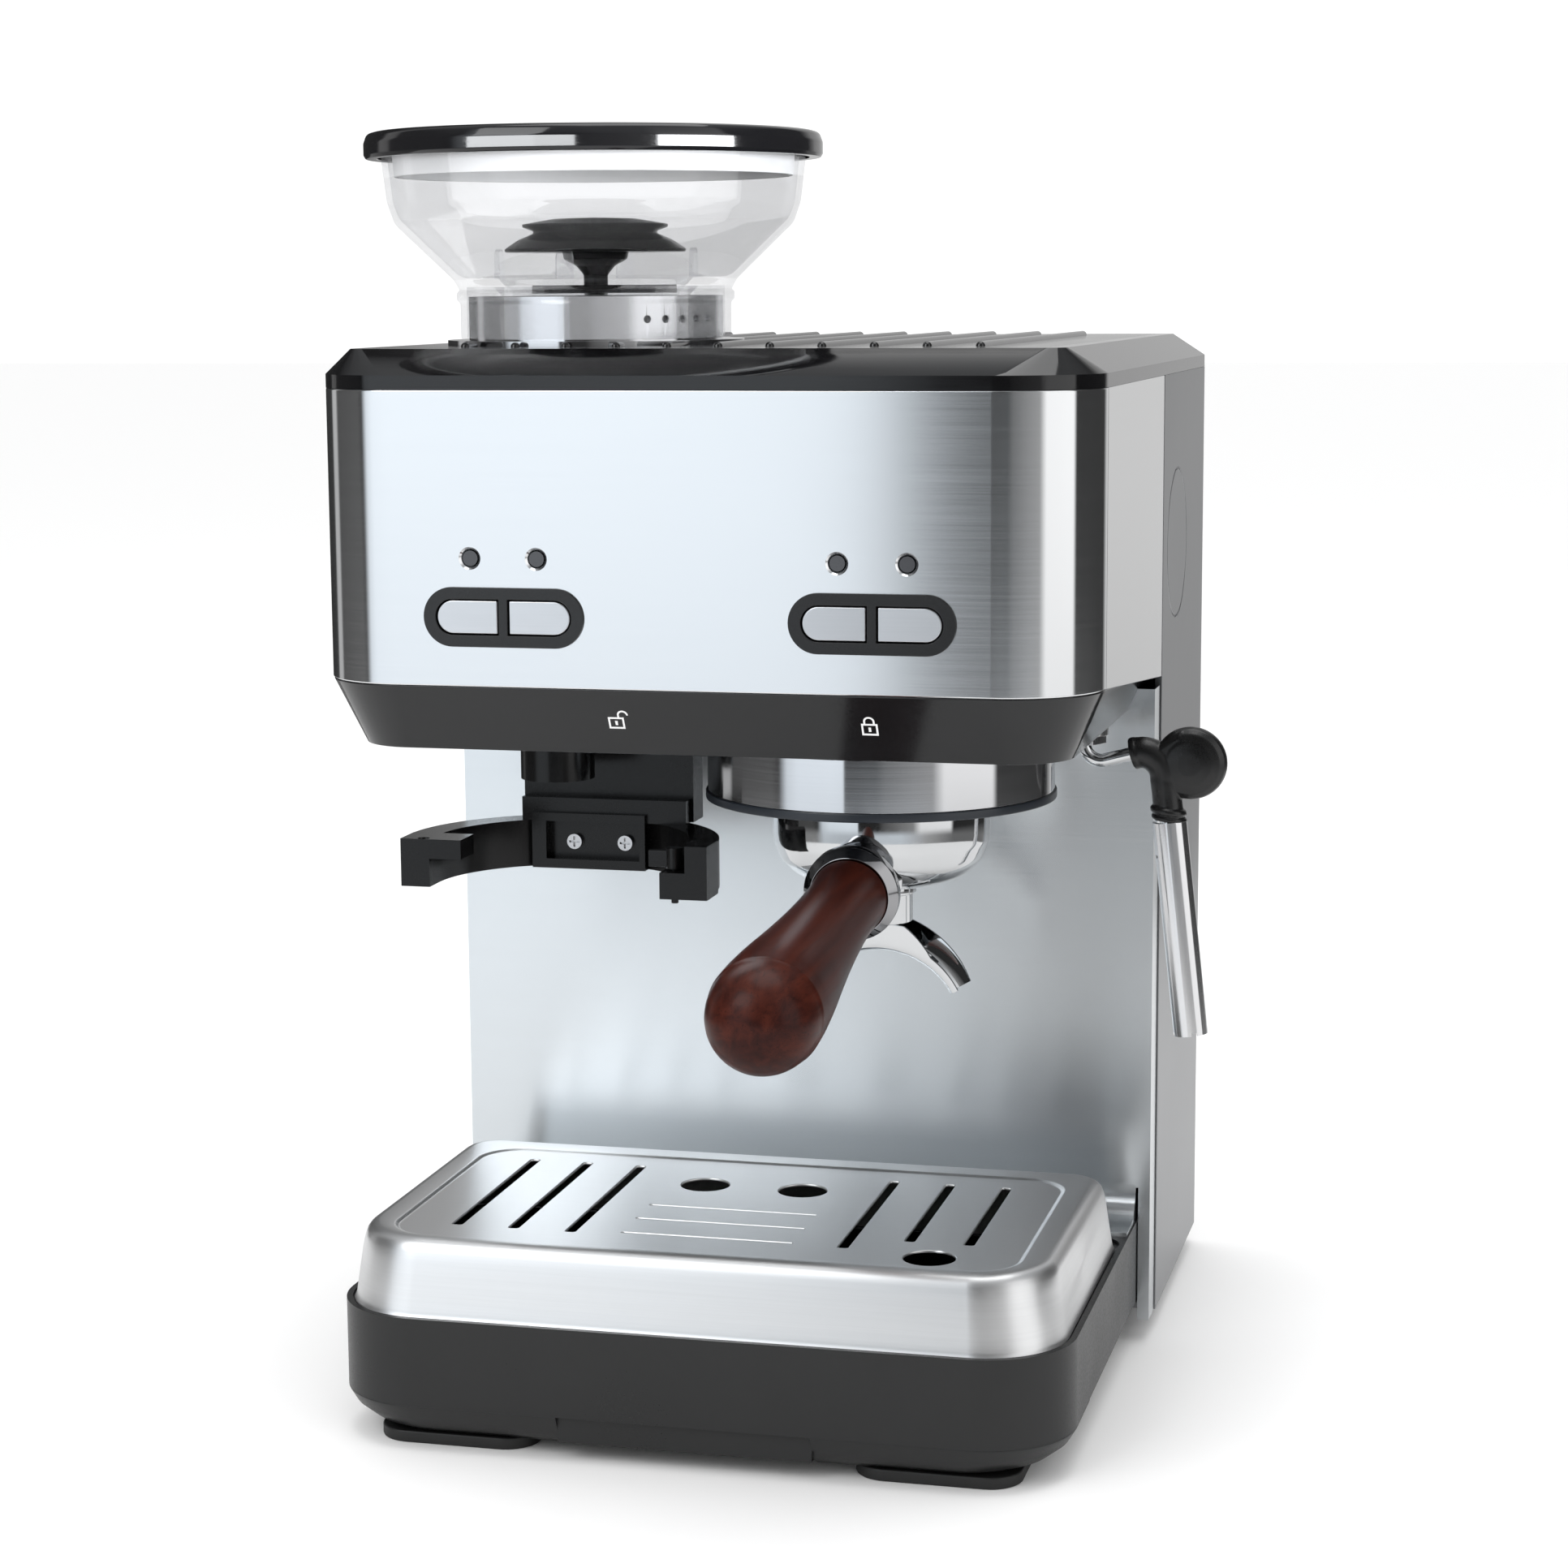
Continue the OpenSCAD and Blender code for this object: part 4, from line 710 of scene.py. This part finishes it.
cut = bmesh.new()
slots = [(x, 55.5, 3.4, 83.4, 1.0) for x in (-84.5, -65, -45.5)] + [(45.5, 56.5, 3.4, 81.4, 1.0)] + [(x, 62.25, 3.4, 69.9, 1.0) for x in (65, 84.5)]
slots += [(0, y, 57.5, 1.5, 0.6) for y in (50.3, 34, 17.2)]
slots += [(-17.2, 78.5, 16.8, 16.8, 8.4), (17.2, 78.5, 16.8, 16.8, 8.4), (75, 11, 16.8, 16.8, 8.4)]
for cx, cy, lx, ly, r in slots:
    n = 12 if r > 5 else 5
    rings = []
    for z, e in ((58.0, 0.0), (61.35, 0.0), (61.62, 0.08), (61.82, 0.32), (63.5, 0.34)):
        rings.append([V(x, y, z) for x, y in slot_outline(cx, cy, lx + 2 * e, ly + 2 * e, r + e, n)])
    loft(cut, rings)
cut_with(tray, cut)

# ---------------------------------------------------------------- rubber grip, blended as one moulding
ARM_R, ARM_Z, RISE, EL_R = 5.6, 208.3, math.radians(15), 8.0
SL_X, SL_Z = WX + 28.9, 188.4
EL_X = SL_X - 14.3 * math.sin(LEAN) - EL_R * math.cos(LEAN)
EL_Z = SL_Z + 14.3 * math.cos(LEAN) + EL_R * math.sin(LEAN)


def tube_along(bm, path, n=40):
    """path: (x, z, direction angle in the XZ plane, radius); a capped round tube in the wand's plane."""
    rings = []
    for x, z, a, r in path:
        nx, nz = -math.sin(a), math.cos(a)
        rings.append([V(x + nx * r * math.cos(t), WY + r * math.sin(t), z + nz * r * math.cos(t)) for t in [2 * math.pi * k / n for k in range(n)]])
    loft(bm, rings)


def lean_pt(t):
    return SL_X + t * -math.sin(LEAN), SL_Z + t * math.cos(LEAN)


bm = bmesh.new()
path = []
x0, z0 = WX + ARM_R * (1 + math.sin(RISE)), ARM_Z + ARM_R * (1 - math.cos(RISE))
for t, r in ((9.2, 5.0), (9.5, 5.4), (10.8, 5.5), (11.4, 5.3)):
    path.append((x0 + t * math.cos(RISE), z0 + t * math.sin(RISE), RISE, r))
for k in range(0, 19):
    a = RISE - (RISE + math.pi / 2 + LEAN) * k / 18
    # the bend turns from the pipe's rise to straight down the leaning sleeve
    path.append((EL_X - EL_R * math.sin(a), EL_Z + EL_R * math.cos(a), a, 5.15 + 0.25 * math.sin(math.pi * k / 18)))
down = -math.pi / 2 - LEAN
for t, r in ((13.0, 5.2), (9.0, 5.1), (4.9, 5.15), (4.6, 5.8), (4.2, 6.15), (3.0, 6.15), (2.7, 5.8), (2.5, 5.4), (2.0, 5.4), (1.8, 5.8), (1.5, 6.05), (0.8, 6.05), (0.3, 5.7)):
    x, z = lean_pt(t)
    path.append((x, z, down, r))
tube_along(bm, path)
# the round thumb knob, thick with a full soft rim
kx, kz = SL_X + 6.9, 208.3
lathe(bm, [(0, -5.3), (4, -5.2), (7.4, -4.7), (10.2, -3.7), (11.8, -2.2), (12.25, -0.4), (12.15, 1.4), (11.2, 3.0), (9.0, 3.9), (0, 4.2)],
      lambda a, b, t: V(kx + a, WY + t, kz + b), 72)
# web between the knob and the elbow
rings = []
for y, k in ((-4.3, 0.84), (-3.2, 1.0), (2.8, 1.0), (3.8, 0.86)):
    web = [(SL_X - 5.5, 206.5), (SL_X - 2.0, 200.8), (SL_X + 4.0, 201.0), (SL_X + 6.5, 208.3), (SL_X + 4.2, 219.4), (SL_X - 4.6, 213.4)]
    mx, mz = SL_X + 1.0, 208.3
    rings.append([V(mx + (x - mx) * k, WY + y, mz + (z - mz) * k) for x, z in web])
loft(bm, rings)
grip = mesh_object("moulded_grip", bm, M["rubber"], "wand", ("wand_grip",), 180)
rm = grip.modifiers.new("mould", "REMESH")
rm.mode = "VOXEL"
rm.voxel_size = 0.00032
rm.use_smooth_shade = True
sm = grip.modifiers.new("soft", "SMOOTH")
sm.factor = 0.5
sm.iterations = 7

# ---------------------------------------------------------------- floor, lights, world
fm = bpy.data.materials.new("pale_floor")
fm.use_nodes = True
ft = fm.node_tree
fb = ft.nodes["Principled BSDF"]
fb.inputs["Base Color"].default_value = (0.88, 0.88, 0.88, 1)
fb.inputs["Roughness"].default_value = 0.7
fb.inputs["Specular IOR Level"].default_value = 0.2
# faint paper grain
ftc = ft.nodes.new("ShaderNodeTexCoord")
fn = ft.nodes.new("ShaderNodeTexNoise")
fn.inputs["Scale"].default_value = 60
ft.links.new(ftc.outputs["Object"], fn.inputs["Vector"])
fr = ft.nodes.new("ShaderNodeMapRange")
fr.inputs["To Min"].default_value = 0.66
fr.inputs["To Max"].default_value = 0.74
ft.links.new(fn.outputs["Fac"], fr.inputs["Value"])
ft.links.new(fr.outputs["Result"], fb.inputs["Roughness"])
# the far floor gives way to the studio in long reflections, and is darker in short ones
flp = ft.nodes.new("ShaderNodeLightPath")
far = ft.nodes.new("ShaderNodeMath")
far.operation = "GREATER_THAN"
far.inputs[1].default_value = 0.8
ft.links.new(flp.outputs["Ray Length"], far.inputs[0])
gl = ft.nodes.new("ShaderNodeMath")
gl.operation = "MULTIPLY"
ft.links.new(far.outputs[0], gl.inputs[0])
mirror = ft.nodes.new("ShaderNodeMath")
mirror.operation = "GREATER_THAN"
ft.links.new(flp.outputs["Is Glossy Ray"], mirror.inputs[0])
ft.links.new(flp.outputs["Is Transmission Ray"], mirror.inputs[1])
ft.links.new(mirror.outputs[0], gl.inputs[1])
ftr = ft.nodes.new("ShaderNodeBsdfTransparent")
fmx = ft.nodes.new("ShaderNodeMixShader")
ft.links.new(gl.outputs[0], fmx.inputs["Fac"])
ft.links.new(fb.outputs[0], fmx.inputs[1])
ft.links.new(ftr.outputs[0], fmx.inputs[2])
shade = ft.nodes.new("ShaderNodeMapRange")
shade.inputs["To Min"].default_value = 0.92
shade.inputs["To Max"].default_value = 0.70
ft.links.new(mirror.outputs[0], shade.inputs["Value"])
ft.links.new(shade.outputs["Result"], fb.inputs["Base Color"])
ft.links.new(fmx.outputs[0], ft.nodes["Material Output"].inputs["Surface"])
me = bpy.data.meshes.new("floor")
R = 14.0
me.from_pydata([(-R, -R, 0), (R, -R, 0), (R, R, 0), (-R, R, 0)], [], [(0, 1, 2, 3)])
me.materials.append(fm)
floor = bpy.data.objects.new("floor", me)
scene.collection.objects.link(floor)


def area(name, loc, target, size, power, color=(1, 1, 1), size_y=None, only=None):
    d = bpy.data.lights.new(name, "AREA")
    d.energy = power
    d.color = color
    d.shape = "RECTANGLE"
    d.size = size
    d.size_y = size_y or size
    o = bpy.data.objects.new(name, d)
    scene.collection.objects.link(o)
    o.location = loc
    o.rotation_euler = (Vector(target) - Vector(loc)).to_track_quat("-Z", "Y").to_euler()
    o.visible_camera = False
    if only:
        group = bpy.data.collections.new(name + "_receivers")
        for r in only:
            group.objects.link(r)
        o.light_linking.receiver_collection = group
    return o


area("key", (-1.0, -1.6, 1.6), (0, 0, 0.22), 1.2, 13)
area("top", (0.1, 0.1, 1.9), (0, 0, 0.3), 1.3, 12)
# two softboxes that draw the bright blocks along the lid's rim
lid_at = V(HX, HY, 413)
glass = [lid]


def ring_light(name, azimuth, dist, width, z, height, power):
    a = math.radians(azimuth)
    p = Vector((lid_at.x + dist * math.sin(a), lid_at.y - dist * math.cos(a), z))
    return area(name, p, (lid_at.x, lid_at.y, z), width, power, (0.96, 0.98, 1.0), height, glass)


ring_light("soft_left", -19, 1.5, 1.55, 0.52, 0.36, 25.0)
ring_light("soft_right", 68, 1.2, 0.88, 0.46, 0.36, 38.0)

world = bpy.data.worlds.new("studio")
scene.world = world
world.use_nodes = True
wt = world.node_tree
wt.nodes.clear()


def wn(kind, **inputs):
    k = wt.nodes.new(kind)
    for i, v in inputs.items():
        k.inputs[i.replace("_", " ")].default_value = v
    return k


def wmath(op, a, b=None):
    k = wt.nodes.new("ShaderNodeMath")
    k.operation = op
    for i, v in ((0, a), (1, b)):
        if v is None:
            continue
        if isinstance(v, (int, float)):
            k.inputs[i].default_value = v
        else:
            wt.links.new(v, k.inputs[i])
    return k.outputs[0]


out = wt.nodes.new("ShaderNodeOutputWorld")
tc = wt.nodes.new("ShaderNodeTexCoord")
sep = wt.nodes.new("ShaderNodeSeparateXYZ")
wt.links.new(tc.outputs["Generated"], sep.inputs[0])
az = wmath("ARCTAN2", sep.outputs["X"], wmath("MULTIPLY", sep.outputs["Y"], -1))
mr = wn("ShaderNodeMapRange", From_Min=-math.pi, From_Max=math.pi)
wt.links.new(az, mr.inputs["Value"])
# the studio around the machine, by direction: 0 is straight in front, positive towards the wand side
WARM, COOL = (1.0, 1.0, 1.0), (0.93, 1.0, 1.065)
stops = [(-180, 0.62, WARM), (-162, 0.62, WARM), (-157, 0.03, WARM), (-119, 0.04, WARM), (-115, 0.5, WARM), (-107, 0.5, WARM), (-103, 0.08, WARM), (-64, 0.09, WARM), (-58, 0.04, WARM),
         (-52, 0.9, COOL), (-44, 1.1, COOL), (-20, 1.14, COOL), (-12.2, 1.1, COOL), (-11.2, 0.03, WARM), (9, 0.03, WARM), (15, 0.12, WARM), (26, 0.2, WARM), (46, 0.34, WARM), (54, 1.15, WARM),
         (90, 1.2, WARM), (94, 0.03, WARM), (152, 0.04, WARM), (163, 0.62, WARM), (180, 0.62, WARM)]
# the same below the horizon, where the foreground is an even soft light
stops_low = [(-180, 0.42, WARM), (-110, 0.36, WARM), (-60, 0.36, WARM), (-50, 0.9, COOL), (-30, 0.8, COOL), (-16, 0.76, COOL), (-8, 0.82, COOL), (2, 0.95, COOL), (34, 0.95, COOL),
             (60, 0.55, WARM), (94, 0.22, WARM), (140, 0.22, WARM), (170, 0.4, WARM), (180, 0.42, WARM)]


def round_ramp(marks):
    r = wt.nodes.new("ShaderNodeValToRGB")
    e = r.color_ramp.elements
    while len(e) > 1:
        e.remove(e[-1])
    e[0].position = 0
    e[0].color = tuple(marks[0][1] * q for q in marks[0][2]) + (1,)
    for deg, v, tint in marks[1:]:
        k = e.new((deg + 180) / 360)
        k.color = tuple(v * q for q in tint) + (1,)
    wt.links.new(mr.outputs["Result"], r.inputs["Fac"])
    return r


ramp = round_ramp(stops)
ramp_low = round_ramp(stops_low)
below = wn("ShaderNodeMapRange", From_Min=-0.168, From_Max=-0.198)
wt.links.new(sep.outputs["Z"], below.inputs["Value"])
both = wt.nodes.new("ShaderNodeMix")
both.data_type = "RGBA"
wt.links.new(below.outputs["Result"], both.inputs["Factor"])
wt.links.new(ramp.outputs["Color"], both.inputs["A"])
wt.links.new(ramp_low.outputs["Color"], both.inputs["B"])
# darker towards the ground
low = wn("ShaderNodeMapRange", From_Min=-0.34, From_Max=-0.06, To_Min=0.6, To_Max=1.0)
wt.links.new(sep.outputs["Z"], low.inputs["Value"])
dim = wt.nodes.new("ShaderNodeMix")
dim.data_type = "RGBA"
dim.blend_type = "MULTIPLY"
dim.inputs["Factor"].default_value = 1.0
wt.links.new(both.outputs["Result"], dim.inputs["A"])
wt.links.new(low.outputs["Result"], dim.inputs["B"])
# the ceiling is an even soft grey
el = wn("ShaderNodeMapRange", From_Min=0.5, From_Max=0.8)
wt.links.new(sep.outputs["Z"], el.inputs["Value"])
mix = wt.nodes.new("ShaderNodeMix")
mix.data_type = "RGBA"
wt.links.new(el.outputs["Result"], mix.inputs["Factor"])
wt.links.new(dim.outputs["Result"], mix.inputs["A"])
mix.inputs["B"].default_value = (0.42, 0.43, 0.44, 1)
bg = wn("ShaderNodeBackground", Strength=1.0)
wt.links.new(mix.outputs["Result"], bg.inputs["Color"])
plain = wn("ShaderNodeBackground", Strength=1.13, Color=(1, 1, 1, 1))
lp = wt.nodes.new("ShaderNodeLightPath")
ms = wt.nodes.new("ShaderNodeMixShader")
wt.links.new(wmath("MULTIPLY", lp.outputs["Is Glossy Ray"], wmath("SUBTRACT", 1.0, lp.outputs["Is Transmission Ray"])), ms.inputs["Fac"])
wt.links.new(plain.outputs[0], ms.inputs[1])
wt.links.new(bg.outputs[0], ms.inputs[2])
wt.links.new(ms.outputs[0], out.inputs["Surface"])

scene.view_settings.view_transform = "Standard"
scene.view_settings.look = "None"
scene.view_settings.exposure = 0.0
scene.cycles.use_denoising = True
scene.cycles.transparent_max_bounces = 12
scene.cycles.max_bounces = 10
scene.cycles.transmission_bounces = 10
scene.cycles.glossy_bounces = 5
